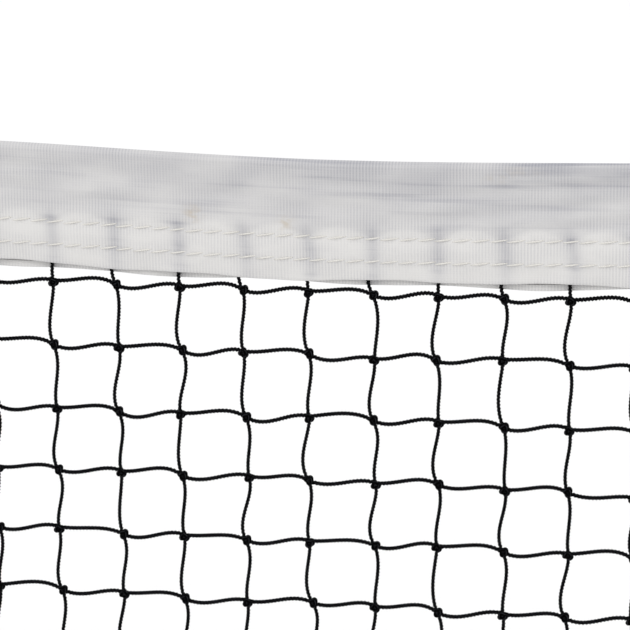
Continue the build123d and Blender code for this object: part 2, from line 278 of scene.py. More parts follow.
def hermite(t: Array, start: Array, end: Array, leave: Array, arrive: Array) -> Array:
    """The cubic that goes from start to end with the slopes leave and arrive per unit of t.

    Args:
        t: Share of the way, from 0 to 1.
        start: Value at 0.
        end: Value at 1.
        leave: Slope at 0.
        arrive: Slope at 1.

    Returns:
        The value at t.
    """
    return (
        (2 * t**3 - 3 * t**2 + 1) * start
        + (t**3 - 2 * t**2 + t) * leave
        + (3 * t**2 - 2 * t**3) * end
        + (t**3 - t**2) * arrive
    )


# ---------------------------------------------------------------- finishes

class Nodes:
    """Short way to build a material's node tree."""

    def __init__(self, name: str) -> None:
        """An empty node material with one Principled shader.

        Args:
            name: The material's name.
        """
        self.material = bpy.data.materials.new(name)
        self.material.use_nodes = True
        self.tree = self.material.node_tree
        self.tree.nodes.clear()
        self.shader = self.tree.nodes.new("ShaderNodeBsdfPrincipled")
        output = self.tree.nodes.new("ShaderNodeOutputMaterial")
        self.tree.links.new(self.shader.outputs[0], output.inputs[0])

    def plug(self, value: object, socket: bpy.types.NodeSocket) -> None:
        """Link an output to a socket, or set the socket's own value.

        Args:
            value: An output, a number, a vector or a colour.
            socket: Where it goes.
        """
        if isinstance(value, bpy.types.NodeSocket):
            self.tree.links.new(value, socket)
        elif isinstance(value, tuple) and len(value) == 3 and socket.type == "RGBA":
            socket.default_value = (*value, 1.0)
        else:
            socket.default_value = value

    def math(self, operation: str, *values: object) -> bpy.types.NodeSocket:
        """The result of a Math node.

        Args:
            operation: The node's operation.
            values: Its inputs, in order.

        Returns:
            Its output.
        """
        node = self.tree.nodes.new("ShaderNodeMath")
        node.operation = operation
        for value, socket in zip(values, node.inputs):
            self.plug(value, socket)
        return node.outputs[0]

    def mix(self, share: object, one: object, other: object) -> bpy.types.NodeSocket:
        """One colour turning into another.

        Args:
            share: 0 for the one and 1 for the other.
            one: The first colour.
            other: The second colour.

        Returns:
            The mixed colour.
        """
        node = self.tree.nodes.new("ShaderNodeMix")
        node.data_type = "RGBA"
        for value, socket in zip((share, one, other), (node.inputs[0], *node.inputs[6:8])):
            self.plug(value, socket)
        return node.outputs[2]

    def places(self, kind: str, scale: tuple[float, float, float]) -> bpy.types.NodeSocket:
        """Texture coordinates of a kind, each multiplied by its scale.

        Args:
            kind: UV or Object.
            scale: What each coordinate is multiplied by.

        Returns:
            The scaled coordinates.
        """
        source = self.tree.nodes.new("ShaderNodeTexCoord")
        node = self.tree.nodes.new("ShaderNodeVectorMath")
        node.operation = "MULTIPLY"
        self.tree.links.new(source.outputs[kind], node.inputs[0])
        node.inputs[1].default_value = scale
        return node.outputs[0]

    def split(self, vector: bpy.types.NodeSocket) -> list[bpy.types.NodeSocket]:
        """The three parts of a vector.

        Args:
            vector: The vector.

        Returns:
            Its x, y and z.
        """
        node = self.tree.nodes.new("ShaderNodeSeparateXYZ")
        self.tree.links.new(vector, node.inputs[0])
        return list(node.outputs)

    def noise(self, where: bpy.types.NodeSocket, detail: float = 2.0) -> bpy.types.NodeSocket:
        """Soft noise, about 0.5, with one feature for each unit of the coordinates.

        Args:
            where: The coordinates.
            detail: How many finer octaves it has.

        Returns:
            A number from 0 to 1.
        """
        node = self.tree.nodes.new("ShaderNodeTexNoise")
        node.inputs["Scale"].default_value = 1.0
        node.inputs["Detail"].default_value = detail
        self.tree.links.new(where, node.inputs["Vector"])
        return node.outputs[0]

    def ramp(self, value: object, low: float, high: float) -> bpy.types.NodeSocket:
        """0 below low, 1 above high, and a smooth step between them.

        Args:
            value: What is stepped.
            low: Where the step starts.
            high: Where it ends.

        Returns:
            A number from 0 to 1.
        """
        node = self.tree.nodes.new("ShaderNodeMapRange")
        node.interpolation_type = "SMOOTHSTEP"
        self.plug(value, node.inputs[0])
        node.inputs[1].default_value = low
        node.inputs[2].default_value = high
        return node.outputs[0]

    def attribute(self, name: str) -> bpy.types.NodeSocket:
        """A number stored on the mesh.

        Args:
            name: The attribute's name.

        Returns:
            Its value.
        """
        node = self.tree.nodes.new("ShaderNodeAttribute")
        node.attribute_name = name
        return node.outputs["Fac"]

    def bump(self, height: object, distance: float, strength: float = 1.0) -> None:
        """Raise the shader's surface by a height from 0 to 1 times the distance.

        Args:
            height: The height, from 0 to 1.
            distance: What a height of 1 means, in metres.
            strength: Share of the effect.
        """
        node = self.tree.nodes.new("ShaderNodeBump")
        node.inputs["Strength"].default_value = strength
        node.inputs["Distance"].default_value = distance
        self.plug(height, node.inputs["Height"])
        if self.shader.inputs["Normal"].is_linked:
            below = self.shader.inputs["Normal"].links[0].from_socket
            self.tree.links.new(below, node.inputs["Normal"])
        self.tree.links.new(node.outputs[0], self.shader.inputs["Normal"])

    def set(self, **values: object) -> None:
        """Set or link the shader's sockets; an underscore stands for a space."""
        for name, value in values.items():
            self.plug(value, self.shader.inputs[name.replace("_", " ")])


@dataclass(frozen=True)
class ClothFinish:
    """Ribbed woven cloth, with what lies behind it showing through a little and painted shade in
    its hollows, creases and grooves.
    """

    name: str
    light: tuple[float, float, float]
    # The colour that ribs, weave and clouding darken the cloth towards; on the white cloth the
    # painted shade and show-through darken it towards this colour too.
    dark: tuple[float, float, float]
    stain: tuple[float, float, float]
    rib_pitch: float = 2.2 * MM
    rib_contrast: float = 0.26
    rib_height: float = 0.12 * MM
    rib_drift: float = 2.5
    pick_pitch: float = 1.7 * MM
    pick_contrast: float = 0.05
    thread_pitch: float = 0.45 * MM
    thread_height: float = 0.03 * MM
    weave_contrast: float = 0.16
    weave_height: float = 0.08 * MM
    cloud_contrast: float = 0.10
    crease_shade_contrast: float = 0.8
    blotch_contrast: float = 0.25
    roughness: float = 0.85
    sheen: float = 0.15
    specular: float = 0.25
    # True where the cloth takes the band's painted shade and show-through, and its marks.
    shade_and_marks: bool = True
    drift_scale: tuple[float, float, float] = (60.0, 25.0, 1.0)
    patch_scale: tuple[float, float, float] = (22.0, 60.0, 1.0)
    weave_scale: tuple[float, float, float] = (900.0, 1400.0, 1.0)
    cloud_scale: tuple[float, float, float] = (14.0, 40.0, 1.0)
    crease_shade_scale: tuple[float, float, float] = (7.0, 170.0, 1.0)
    blotch_scale: tuple[float, float, float] = (9.0, 30.0, 1.0)
    grime_scale: tuple[float, float, float] = (160.0, 260.0, 1.0)

    def material(self) -> bpy.types.Material:
        """Build it. u runs along the band and v down it, both in metres.

        Returns:
            The material.
        """
        nodes = Nodes(self.name)
        u, v, _ = nodes.split(nodes.places("UV", (1.0, 1.0, 1.0)))
        drift = nodes.noise(nodes.places("UV", self.drift_scale))
        drift = nodes.math("MULTIPLY", drift, self.rib_drift)
        phase = nodes.math("MULTIPLY_ADD", u, TAU / self.rib_pitch, drift)
        rib = nodes.math("MULTIPLY_ADD", nodes.math("SINE", phase), 0.5, 0.5)
        strength = nodes.ramp(nodes.noise(nodes.places("UV", self.patch_scale)), 0.25, 0.65)
        rib_shade = nodes.math("MULTIPLY", rib, nodes.math("MULTIPLY", strength, self.rib_contrast))
        weave = nodes.noise(nodes.places("UV", self.weave_scale), detail=1.0)
        cloud = nodes.noise(nodes.places("UV", self.cloud_scale))
        # Painted shade of soft creases: dark streaks along the band, as strong as the band's shade
        # value lets them be.
        crease_shade = nodes.noise(nodes.places("UV", self.crease_shade_scale), detail=3.0)
        crease_shade = nodes.ramp(crease_shade, 0.5, 0.72)
        speckle = nodes.math("MULTIPLY", nodes.math("SUBTRACT", weave, 0.5), self.weave_contrast)
        picks = nodes.math("SINE", nodes.math("MULTIPLY", v, TAU / self.pick_pitch))
        dots = nodes.math("MULTIPLY", nodes.math("MULTIPLY", picks, rib), self.pick_contrast)
        speckle = nodes.math("ADD", speckle, dots)
        clouding = nodes.math("MULTIPLY", nodes.math("SUBTRACT", cloud, 0.5), self.cloud_contrast)
        tone = nodes.math("ADD", nodes.math("ADD", speckle, clouding), rib_shade)
        # The band's shade value darkens the cloth: the dark inside showing through, and painted
        # shade under the cable, above the upper seam and in the grooves along the twines.
        if self.shade_and_marks:
            inside = nodes.attribute("shade")
            crease_shade_share = nodes.math("MULTIPLY", inside, self.crease_shade_contrast)
            crease_shade = nodes.math("MULTIPLY", crease_shade, crease_shade_share)
            tone = nodes.math("ADD", tone, nodes.math("ADD", inside, crease_shade))
        colour = nodes.mix(tone, self.light, self.dark)
        blotch = nodes.noise(nodes.places("UV", self.blotch_scale), detail=3.0)
        grime = nodes.noise(nodes.places("UV", self.grime_scale))
        marks = nodes.math("MULTIPLY", nodes.ramp(blotch, 0.66, 0.80), self.blotch_contrast)
        if self.shade_and_marks:
            marks = nodes.math("ADD", marks, nodes.attribute("mark"))
        marks = nodes.math("MULTIPLY", marks, nodes.ramp(grime, 0.35, 0.65))
        colour = nodes.mix(marks, colour, self.stain)
        nodes.set(Base_Color=colour, Roughness=self.roughness, Sheen_Weight=self.sheen)
        nodes.set(Sheen_Roughness=0.5, Specular_IOR_Level=self.specular)
        threads = nodes.math("SINE", nodes.math("MULTIPLY", v, TAU / self.thread_pitch))
        nodes.bump(nodes.math("MULTIPLY_ADD", threads, 0.5, 0.5), self.thread_height, 0.6)
        nodes.bump(rib, self.rib_height, 0.8)
        nodes.bump(weave, self.weave_height, 0.6)
        return nodes.material


@dataclass(frozen=True)
class TwineFinish:
    """Laid twine, rope or thread: strands that wind round it, with fibres along them, a painted
    highlight on the strands' crests and painted shade in the grooves between them.
    """

    name: str
    crest: tuple[float, float, float]
    shaded_groove: tuple[float, float, float]
    lay: float
    depth: float
    strands: int = 3
    roughness: float = 0.55
    specular: float = 0.35
    sharpness: float = 3.0
    fibre_scale: tuple[float, float, float] = (2600.0, 2600.0, 2600.0)
    glint_patch_scale: tuple[float, float, float] = (90.0, 90.0, 90.0)

    def material(self) -> bpy.types.Material:
        """Build it. u runs round the twine from 0 to 1 and v along it in metres.

        Returns:
            The material.
        """
        nodes = Nodes(self.name)
        u, v, _ = nodes.split(nodes.places("UV", (1.0, 1.0, 1.0)))
        wound = nodes.math("MULTIPLY", v, TAU * self.strands / self.lay)
        phase = nodes.math("MULTIPLY_ADD", u, TAU * self.strands, wound)
        strand = nodes.math("MULTIPLY_ADD", nodes.math("COSINE", phase), 0.5, 0.5)
        fibre = nodes.noise(nodes.places("Object", self.fibre_scale), detail=1.0)
        glint_patches = nodes.noise(nodes.places("Object", self.glint_patch_scale))
        # Painted highlight on the crests of the strands, stronger in patches, over the groove
        # colour, which is painted shade between the strands.
        lit = nodes.math("POWER", strand, self.sharpness)
        share = nodes.math("MULTIPLY", lit, nodes.math("MULTIPLY_ADD", glint_patches, 0.8, 0.3))
        nodes.set(Base_Color=nodes.mix(share, self.shaded_groove, self.crest))
        nodes.set(Roughness=self.roughness, Specular_IOR_Level=self.specular)
        nodes.bump(strand, self.depth, 1.0)
        nodes.bump(fibre, self.depth * 0.25, 0.5)
        return nodes.material


@dataclass(frozen=True)
class SolidFinish:
    """Moulded, drawn or pressed material: metal, vinyl, rubber or glass fibre."""

    name: str
    colour: tuple[float, float, float]
    worn: tuple[float, float, float]
    metallic: float
    roughness: float
    grain: tuple[float, float, float]
    grain_depth: float = 0.02 * MM
    coat: float = 0.0
    specular: float = 0.5
    patch_scale: tuple[float, float, float] = (70.0, 70.0, 70.0)

    def material(self) -> bpy.types.Material:
        """Build it: grain at its own scale, and worn patches that are rougher.

        Returns:
            The material.
        """
        nodes = Nodes(self.name)
        fine = nodes.noise(nodes.places("Object", self.grain), detail=3.0)
        patch = nodes.ramp(nodes.noise(nodes.places("Object", self.patch_scale)), 0.4, 0.7)
        share = nodes.math("MULTIPLY", patch, nodes.math("MULTIPLY_ADD", fine, 0.8, 0.1))
        nodes.set(Base_Color=nodes.mix(share, self.colour, self.worn), Metallic=self.metallic)
        rough = nodes.math("MULTIPLY_ADD", fine, 0.18, self.roughness - 0.06)
        nodes.set(Roughness=nodes.math("MULTIPLY_ADD", patch, 0.08, rough))
        nodes.set(Coat_Weight=self.coat, Coat_Roughness=0.2, Specular_IOR_Level=self.specular)
        nodes.bump(fine, self.grain_depth, 0.6)
        return nodes.material


WHITE_CLOTH = ClothFinish(
    "ribbed white cloth", (0.675, 0.664, 0.652), (0.28, 0.283, 0.322), (0.46, 0.38, 0.27)
)
BLACK_CLOTH = ClothFinish(
    "coated black cloth",
    (0.017, 0.017, 0.018),
    (0.007, 0.007, 0.008),
    (0.05, 0.045, 0.04),
    rib_pitch=1.6 * MM,
    rib_contrast=0.5,
    roughness=0.7,
    sheen=0.0,
    specular=0.12,
    shade_and_marks=False,
)
WHITE_THREAD = TwineFinish(
    "white sewing thread", (0.86, 0.85, 0.82), (0.66, 0.64, 0.60), 3.0 * MM, 0.15 * MM, 2, 0.8, 0.2
)
BLACK_THREAD = TwineFinish(
    "black sewing thread", (0.035, 0.035, 0.037), (0.01, 0.01, 0.01), 1.6 * MM, 0.1 * MM, 2, 0.6
)
NET_TWINE = TwineFinish(
    "black laid twine",
    (0.032, 0.033, 0.039),
    (0.0005, 0.0005, 0.0005),
    7.2 * MM,
    0.45 * MM,
    roughness=0.75,
    specular=0.02,
    sharpness=6.0,
)
BOTTOM_ROPE = SolidFinish(
    "black braided rope",
    (0.012, 0.012, 0.013),
    (0.03, 0.03, 0.032),
    0.0,
    0.7,
    (260.0, 900.0, 900.0),
)
WIRE_ROPE = TwineFinish(
    "galvanised wire rope", (0.42, 0.42, 0.41), (0.10, 0.10, 0.10), 30.0 * MM, 0.3 * MM, 6, 0.42
)
CABLE_VINYL = SolidFinish(
    "black cable vinyl", (0.012, 0.012, 0.013), (0.03, 0.03, 0.03), 0.0, 0.32, (40.0, 900.0, 900.0)
)
GALVANISED = SolidFinish(
    "galvanised steel", (0.52, 0.53, 0.53), (0.36, 0.37, 0.38), 1.0, 0.38, (500.0, 500.0, 500.0)
)
PRESSED_ALUMINIUM = SolidFinish(
    "pressed aluminium", (0.66, 0.66, 0.66), (0.5, 0.5, 0.5), 1.0, 0.34, (150.0, 1600.0, 1600.0)
)
BRASS = SolidFinish(
    "plain brass", (0.66, 0.47, 0.19), (0.42, 0.30, 0.14), 1.0, 0.28, (900.0, 900.0, 900.0)
)
GLASS_FIBRE = SolidFinish(
    "pultruded glass fibre",
    (0.62, 0.60, 0.50),
    (0.50, 0.48, 0.40),
    0.0,
    0.36,
    (2400.0, 2400.0, 12.0),
    coat=0.2,
)
CAP_RUBBER = SolidFinish(
    "moulded rubber", (0.014, 0.014, 0.014), (0.04, 0.04, 0.04), 0.0, 0.7, (1200.0, 1200.0, 1200.0)
)


# ---------------------------------------------------------------- netting

@dataclass
class Netting:
    """Knotted square mesh: upright twines, level twines, and a knot at every crossing.

    The knots alternate like the squares of a chessboard. A twine leaves and reaches each kind of
    knot at its own slope, so every stretch between two knots is a flat S.
    """

    columns: int = 284
    rows: int = 23
    seed: int = 11
    knot_scatter: float = 0.8 * MM
    edge_scatter: float = 0.1 * MM
    slope_scatter: float = 0.09
    bow_scatter: float = 0.35 * MM
    lift_share: float = 0.25
    lift_rows: int = 4
    layer: float = 1.1 * MM
    level_rise: tuple[float, float] = (-0.8 * MM, 0.8 * MM)
    level_leave: tuple[float, float] = (-0.42, -0.10)
    level_arrive: tuple[float, float] = (-0.60, -0.32)
    upright_shift: tuple[float, float] = (0.0, 0.6 * MM)
    upright_leave: tuple[float, float] = (0.42, 0.05)
    upright_arrive: tuple[float, float] = (0.50, 0.22)
    middle_columns: tuple[int, int] = (136, 148)
    middle_rows: int = 8
    panel_columns: int = 34
    plain_sides: int = 5
    plain_steps: int = 6
    laid_sides: int = 6
    laid_steps: int = 68
    lay: float = 7.2 * MM
    upright_share: float = 0.83
    level_share: float = 0.94
    strand_depth: float = 0.27
    knot_sides: int = 8
    knot_rings: int = 3
    knot_radius: float = 4.0 * MM
    knot_depth: float = 2.7 * MM
    knot_corner: float = 0.17
    knot_turns: tuple[float, float] = (math.radians(95), math.radians(35))
    knot_map: float = 60.0
    tie_steps: int = 36
    tie_size: float = 0.86 * MM
    tie_size_range: tuple[float, float] = (0.92, 1.08)
    tie_depth: float = 1.35 * MM
    tie_radius: float = 1.5 * MM
    tie_turns: tuple[float, float] = (math.radians(8), math.radians(-48))
    tie_turn_scatter: float = 0.25

    def __post_init__(self) -> None:
        """Place the knots from the CAD twines and draw their small irregularities."""
        low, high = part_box("netting_upright_twines")
        _, level_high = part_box("netting_level_twines")
        self.radius = (high.y - low.y) / 2
        self.pitch = (high.x - low.x - 2 * self.radius) / (self.columns - 1)
        self.ends = (low.z, high.z)
        self.reach = level_high.x
        random = np.random.default_rng(self.seed)
        column = np.arange(self.columns)[:, None]
        row = np.arange(self.rows)[None, :]
        top = level_high.z - self.radius
        shape = (self.columns, self.rows)
        loose = (row > 1) & (row < self.rows - 2) & (column > 1) & (column < self.columns - 2)
        scatter = np.where(loose, self.knot_scatter, self.edge_scatter)
        straight = low.x + self.radius + column * self.pitch
        self.kind = (column + row) % 2
        self.x = straight + random.normal(0, 1, shape) * scatter
        lifted = lift(straight) * self.lift_share * np.clip(1 - row / self.lift_rows, 0, 1)
        self.z = top - row * self.pitch + lifted + random.normal(0, 1, shape) * scatter
        self.slopes = random.normal(0, self.slope_scatter, (4, *shape))
        self.bow = random.normal(0, self.bow_scatter, (2, *shape))

    def across(self, x: Array) -> Array:
        """0 at an upright twine and 1 midway to the next: the square of a sine of x."""
        return np.sin(math.pi * (x / self.pitch - 0.5)) ** 2

    def _by_kind(self, kinds: Array, values: tuple[float, float]) -> Array:
        """One of two values for each knot, by its kind."""
        return np.where(kinds == 0, values[0], values[1])

    def uprights(self, c0: int, c1: int, r0: int, r1: int, steps: int) -> Array:
        """Centre lines of the upright twines c0 to c1 - 1, from row r0 down to row r1.

        Between two knots x is the cubic from one to the next with the two kinds' slopes, and z
        goes straight. y is in front at the knots and nearly on the middle plane between them.

        Args:
            c0: First column.
            c1: The column after the last.
            r0: First row, counted from the top.
            r1: Last row.
            steps: Points from one knot to the next.

        Returns:
            The lines, shaped (columns, points, 3).
        """
        top, end = np.s_[c0:c1, r0:r1], np.s_[c0:c1, r0 + 1 : r1 + 1]
        t = np.arange(steps) / steps
        start = self.x[top] + self._by_kind(self.kind[top], self.upright_shift)
        finish = self.x[end] + self._by_kind(self.kind[end], self.upright_shift)
        leave = self._by_kind(self.kind[top], self.upright_leave) + self.slopes[0][top]
        arrive = self._by_kind(self.kind[end], self.upright_arrive) + self.slopes[1][end]
        x = hermite(
            t,
            start[..., None],
            finish[..., None],
            leave[..., None] * self.pitch,
            arrive[..., None] * self.pitch,
        )
        z = self.z[top][..., None] * (1 - t) + self.z[end][..., None] * t
        mid = np.sin(math.pi * t) ** 2
        y = -self.layer * (1 - mid) + self.bow[0][top][..., None] * mid
        lines = np.stack([x, np.broadcast_to(y, x.shape), z], axis=-1).reshape(c1 - c0, -1, 3)
        last = np.stack(
            [finish[:, -1], np.full(c1 - c0, -self.layer), self.z[c0:c1, r1]], axis=-1
        )[:, None]
        parts = [lines, last]
        if r0 == 0:
            first = lines[:, :1] * np.array([1.0, 1.0, 0.0]) + np.array([0, 0, self.ends[1]])
            parts.insert(0, first)
        if r1 == self.rows - 1:
            parts.append(last * np.array([1.0, 1.0, 0.0]) + np.array([0, 0, self.ends[0]]))
        return np.concatenate(parts, axis=1)

    def levels(self, c0: int, c1: int, r0: int, r1: int, steps: int) -> Array:
        """Centre lines of the level twines r0 to r1 - 1, from column c0 across to column c1.

        They are made as the uprights are, with z as the cubic and x going straight.

        Args:
            c0: First column.
            c1: Last column.
            r0: First row, counted from the top.
            r1: The row after the last.
            steps: Points from one knot to the next.

        Returns:
            The lines, shaped (rows, points, 3).
        """
        near, far = np.s_[c0:c1, r0:r1], np.s_[c0 + 1 : c1 + 1, r0:r1]
        t = np.arange(steps) / steps
        start = self.z[near] + self._by_kind(self.kind[near], self.level_rise)
        finish = self.z[far] + self._by_kind(self.kind[far], self.level_rise)
        leave = self._by_kind(self.kind[near], self.level_leave) + self.slopes[2][near]
        arrive = self._by_kind(self.kind[far], self.level_arrive) + self.slopes[3][far]
        z = hermite(
            t,
            start[..., None],
            finish[..., None],
            leave[..., None] * self.pitch,
            arrive[..., None] * self.pitch,
        )
        x = self.x[near][..., None] * (1 - t) + self.x[far][..., None] * t
        mid = np.sin(math.pi * t) ** 2
        y = self.layer * (1 - mid) + self.bow[1][near][..., None] * mid
        lines = np.stack([x, np.broadcast_to(y, x.shape), z], axis=-1)
        lines = lines.transpose(1, 0, 2, 3).reshape(r1 - r0, -1, 3)
        last = np.stack(
            [self.x[c1, r0:r1], np.full(r1 - r0, self.layer), finish[-1]], axis=-1
        )[:, None]
        parts = [lines, last]
        if c0 == 0:
            parts.insert(0, lines[:, :1] * np.array([0, 1.0, 1.0]) - self.reach * X_AXIS)
        if c1 == self.columns - 1:
            parts.append(last * np.array([0, 1.0, 1.0]) + self.reach * X_AXIS)
        return np.concatenate(parts, axis=1)

    def plain_knots(self, c0: int, c1: int, r0: int, r1: int) -> Patch:
        """Lumps with three corners, one for each crossing, from a few dozen faces.

        In the plane of the net the lump's radius is R (1 + c cos 3(a - a0)) times the sine of the
        angle from its pole, and its thickness follows the cosine of that angle.

        Args:
            c0: First column.
            c1: The column after the last.
            r0: First row, counted from the top.
            r1: The row after the last.

        Returns:
            The lumps.
        """
        sides, rings = self.knot_sides, self.knot_rings
        around = TAU * np.arange(sides) / sides
        polar = math.pi * np.arange(1, rings + 1) / (rings + 1)
        kinds = self.kind[c0:c1, r0:r1].ravel()
        first = self._by_kind(kinds, self.knot_turns)[:, None, None]
        corners = 1 + self.knot_corner * np.cos(3 * (around - first))
        reach = self.knot_radius * corners * np.sin(polar)[:, None]
        count = len(kinds)
        lumps = np.stack(
            [
                reach * np.cos(around),
                np.broadcast_to(self.knot_depth * np.cos(polar)[:, None], reach.shape),
                reach * np.sin(around),
            ],
            axis=-1,
        ).reshape(count, -1, 3)
        poles = np.array([[0, self.knot_depth, 0], [0, -self.knot_depth, 0]])
        lumps = np.concatenate([lumps, np.broadcast_to(poles, (count, 2, 3))], axis=1)
        centre = np.stack([self.x, np.zeros_like(self.x), self.z], axis=-1)[c0:c1, r0:r1]
        points = lumps + centre.reshape(count, 1, 3)
        index = np.arange(rings * sides).reshape(rings, sides)
        here, ahead = index[:-1], index[1:]
        quads = np.stack([here, np.roll(here, -1, 1), np.roll(ahead, -1, 1), ahead], axis=-1)
        quads = quads.reshape(-1, 4)
        low, high = np.full(sides, rings * sides), np.full(sides, rings * sides + 1)
        fans = np.concatenate(
            [
                np.stack([low, np.roll(index[0], -1), index[0]], axis=-1),
                np.stack([high, index[-1], np.roll(index[-1], -1)], axis=-1),
            ]
        )
        shift = (np.arange(count) * (rings * sides + 2))[:, None, None]
        faces = [(f[None] + shift).reshape(-1, f.shape[1]) for f in (quads, fans)]
        flat = points.reshape(-1, 3)
        return Patch(flat, faces, [flat[f][..., [0, 2]] * self.knot_map for f in faces])

    def tied_knots(self, c0: int, c1: int, r0: int, r1: int) -> Patch:
        """Twine tied round itself at each crossing: a three-lobed closed loop.

        The loop is x = sin t + 2 sin 2t, z = cos t - 2 cos 2t, y = -sin 3t, scaled so that its
        lobes lie tight on the crossing, and turned by the knot's kind.

        Args:
            c0: First column.
            c1: The column after the last.
            r0: First row, counted from the top.
            r1: The row after the last.

        Returns:
            The loops, as closed tubes.
        """
        t = TAU * np.arange(self.tie_steps) / self.tie_steps
        loop = np.stack([np.sin(t) + 2 * np.sin(2 * t), np.cos(t) - 2 * np.cos(2 * t)], axis=-1)
        kinds = self.kind[c0:c1, r0:r1].ravel()
        random = np.random.default_rng(self.seed + 1)
        turn = self._by_kind(kinds, self.tie_turns)
        turn = turn + random.normal(0, self.tie_turn_scatter, len(kinds))
        cos, sin = np.cos(turn)[:, None], np.sin(turn)[:, None]
        size = self.tie_size * random.uniform(*self.tie_size_range, (2, len(kinds), 1))
        x = size[0] * (cos * loop[:, 0] - sin * loop[:, 1])
        z = size[1] * (sin * loop[:, 0] + cos * loop[:, 1])
        y = np.broadcast_to(-self.tie_depth * np.sin(3 * t), x.shape)
        centre = np.stack([self.x, np.zeros_like(self.x), self.z], axis=-1)[c0:c1, r0:r1]
        lines = np.stack([x, y, z], axis=-1) + centre.reshape(-1, 1, 3)
        return tubes(lines, self.tie_radius, self.laid_sides, Y_AXIS, closed=True)

    def laid(self, lines: Array, share: float) -> Patch:
        """Tubes with three strands wound round them, at a share of the twine's radius.

        Args:
            lines: Centre lines, shaped (n, m, 3).
            share: The share of the radius.

        Returns:
            The tubes.
        """
        step = self.pitch / self.laid_steps
        turn = -TAU * step / self.lay * np.arange(lines.shape[1])
        radius = share * self.radius
        return tubes(lines, radius, self.laid_sides, Y_AXIS, turn=turn, lobe=self.strand_depth)

    def plain(self, lines: Array, share: float) -> Patch:
        """Round tubes for the twines away from the middle, at a share of the radius."""
        return tubes(lines, share * self.radius, self.plain_sides, Y_AXIS)

    def build(self) -> list[bpy.types.Object]:
        """Make the middle and the panels to its left, to its right and below it.

        Returns:
            The pieces.
        """
        material = NET_TWINE.material()
        m0, m1 = self.middle_columns
        rows, deep = self.rows, self.middle_rows
        up, across = self.upright_share, self.level_share
        made = [
            piece(
                "netting_middle_uprights",
                [self.laid(self.uprights(m0, m1, 0, deep, self.laid_steps), up)],
                material,
            ),
            piece(
                "netting_middle_levels",
                [self.laid(self.levels(m0, m1, 0, deep + 1, self.laid_steps), across)],
                material,
            ),
            piece("netting_middle_knots", [self.tied_knots(m0, m1, 0, deep + 1)], material),
            piece(
                "netting_below_middle",
                [
                    self.plain(self.uprights(m0, m1, deep, rows - 1, self.plain_steps), up),
                    self.plain(self.levels(m0, m1, deep + 1, rows, self.plain_steps), across),
                    self.plain_knots(m0, m1, deep + 1, rows),
                ],
                material,
            ),
        ]
        starts = [*range(0, m0, self.panel_columns), *range(m1, self.columns, self.panel_columns)]
        for number, start in enumerate(starts, 1):
            stop = min(start + self.panel_columns, m0 if start < m0 else self.columns)
            reach = min(stop, self.columns - 1)
            patches = [
                self.plain(self.uprights(start, stop, 0, rows - 1, self.plain_steps), up),
                self.plain(self.levels(start, reach, 0, rows, self.plain_steps), across),
                self.plain_knots(start, stop, 0, rows),
            ]
            made.append(piece(f"netting_panel_{number}", patches, material))
        for part in made:
            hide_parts("netting_upright_twines", "netting_level_twines")
            settle(part, "net")
        return made


# Size of the waves in the headband's top, their length and start, the length over which their
# size changes, and where along the net they die away, over what distance.
LIFT_SIZE = 3.2 * MM
LIFT_WAVE = 0.62
LIFT_START = 0.05
LIFT_CHANGE = 1.3
LIFT_END = 6.39
LIFT_FADE = 0.25


def lift(x: Array) -> Array:
    """How far the loose fold of the headband stands above the cable along the net.

    It is A (1 - cos(2 pi (x - start) / wave)), with an A that changes slowly along the net, and
    it dies away towards both ends, where the band is sewn down.

    Args:
        x: Places along the net.

    Returns:
        The height above the cable at each of them.
    """
    size = LIFT_SIZE * (1 - 0.2 * np.sin(TAU * x / LIFT_CHANGE))
    near_end = np.clip((LIFT_END - np.abs(x)) / LIFT_FADE, 0, 1)
    wave = 1 - np.cos(TAU * (x - LIFT_START) / LIFT_WAVE)
    return size * wave * near_end**2 * (3 - 2 * near_end)


def settle(part: bpy.types.Object, body: str) -> None:
    """Let a piece ride on its body and report it.

    Args:
        part: The piece.
        body: The body that carries it.
    """
    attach(part, body)
    LOG.info("%s: %d faces on %s", part.name, len(part.data.polygons), body)


# ---------------------------------------------------------------- sewing

@dataclass(frozen=True)
class Stitching:
    """Rows of slanting stitches, each a short thread that rises from one hole to the next."""

    spacing: float = 12.3 * MM
    length: float = 13.2 * MM
    slant: float = 2.1 * MM
    lift: float = 0.5 * MM
    radius: float = 0.66 * MM
    sunk: float = 0.12 * MM
    end_share: float = 0.6
    steps: int = 6
    sides: int = 5

    def row(self, base: Array, along: Array, up: Array, out: Array) -> Patch:
        """Stitches at given places.

        Along a stitch t goes from 0 to 1. Its centre is base + (t - 1/2)(length * along + slant *
        up) + (lift sin(pi t) - sunk) * out, and it is thinnest at its ends.

        Args:
            base: Middle of each stitch on the cloth, shaped (n, 3).
            along: Direction of the row.
            up: Direction that the far end of each stitch leans to.
            out: Outward direction of the cloth.

        Returns:
            The stitches, as closed tubes.
        """
        t = np.linspace(0, 1, self.steps)
        reach = (t - 0.5)[:, None] * (self.length * along + self.slant * up)
        bulge = np.sin(math.pi * t)
        rise = (self.lift * bulge - self.sunk)[:, None] * out
        lines = base[:, None] + reach + rise
        radius = self.radius * (self.end_share + (1 - self.end_share) * bulge)
        return tubes(lines, radius, self.sides, out)

    @classmethod
    def flat(cls) -> Stitching:
        """Flatter, plainer stitches for the dark bands."""
        return cls(steps=4, lift=0.25 * MM, slant=0.8 * MM)

    def places(self, low: float, high: float) -> Array:
        """Middles of the stitches of a row that runs from low to high.

        Args:
            low: Start of the row.
            high: End of the row.

        Returns:
            The middles, evenly spaced and centred in the row.
        """
        count = int((high - low) / self.spacing)
        start = (low + high - count * self.spacing) / 2
        return start + self.spacing * (np.arange(count) + 0.5)


# ---------------------------------------------------------------- headband

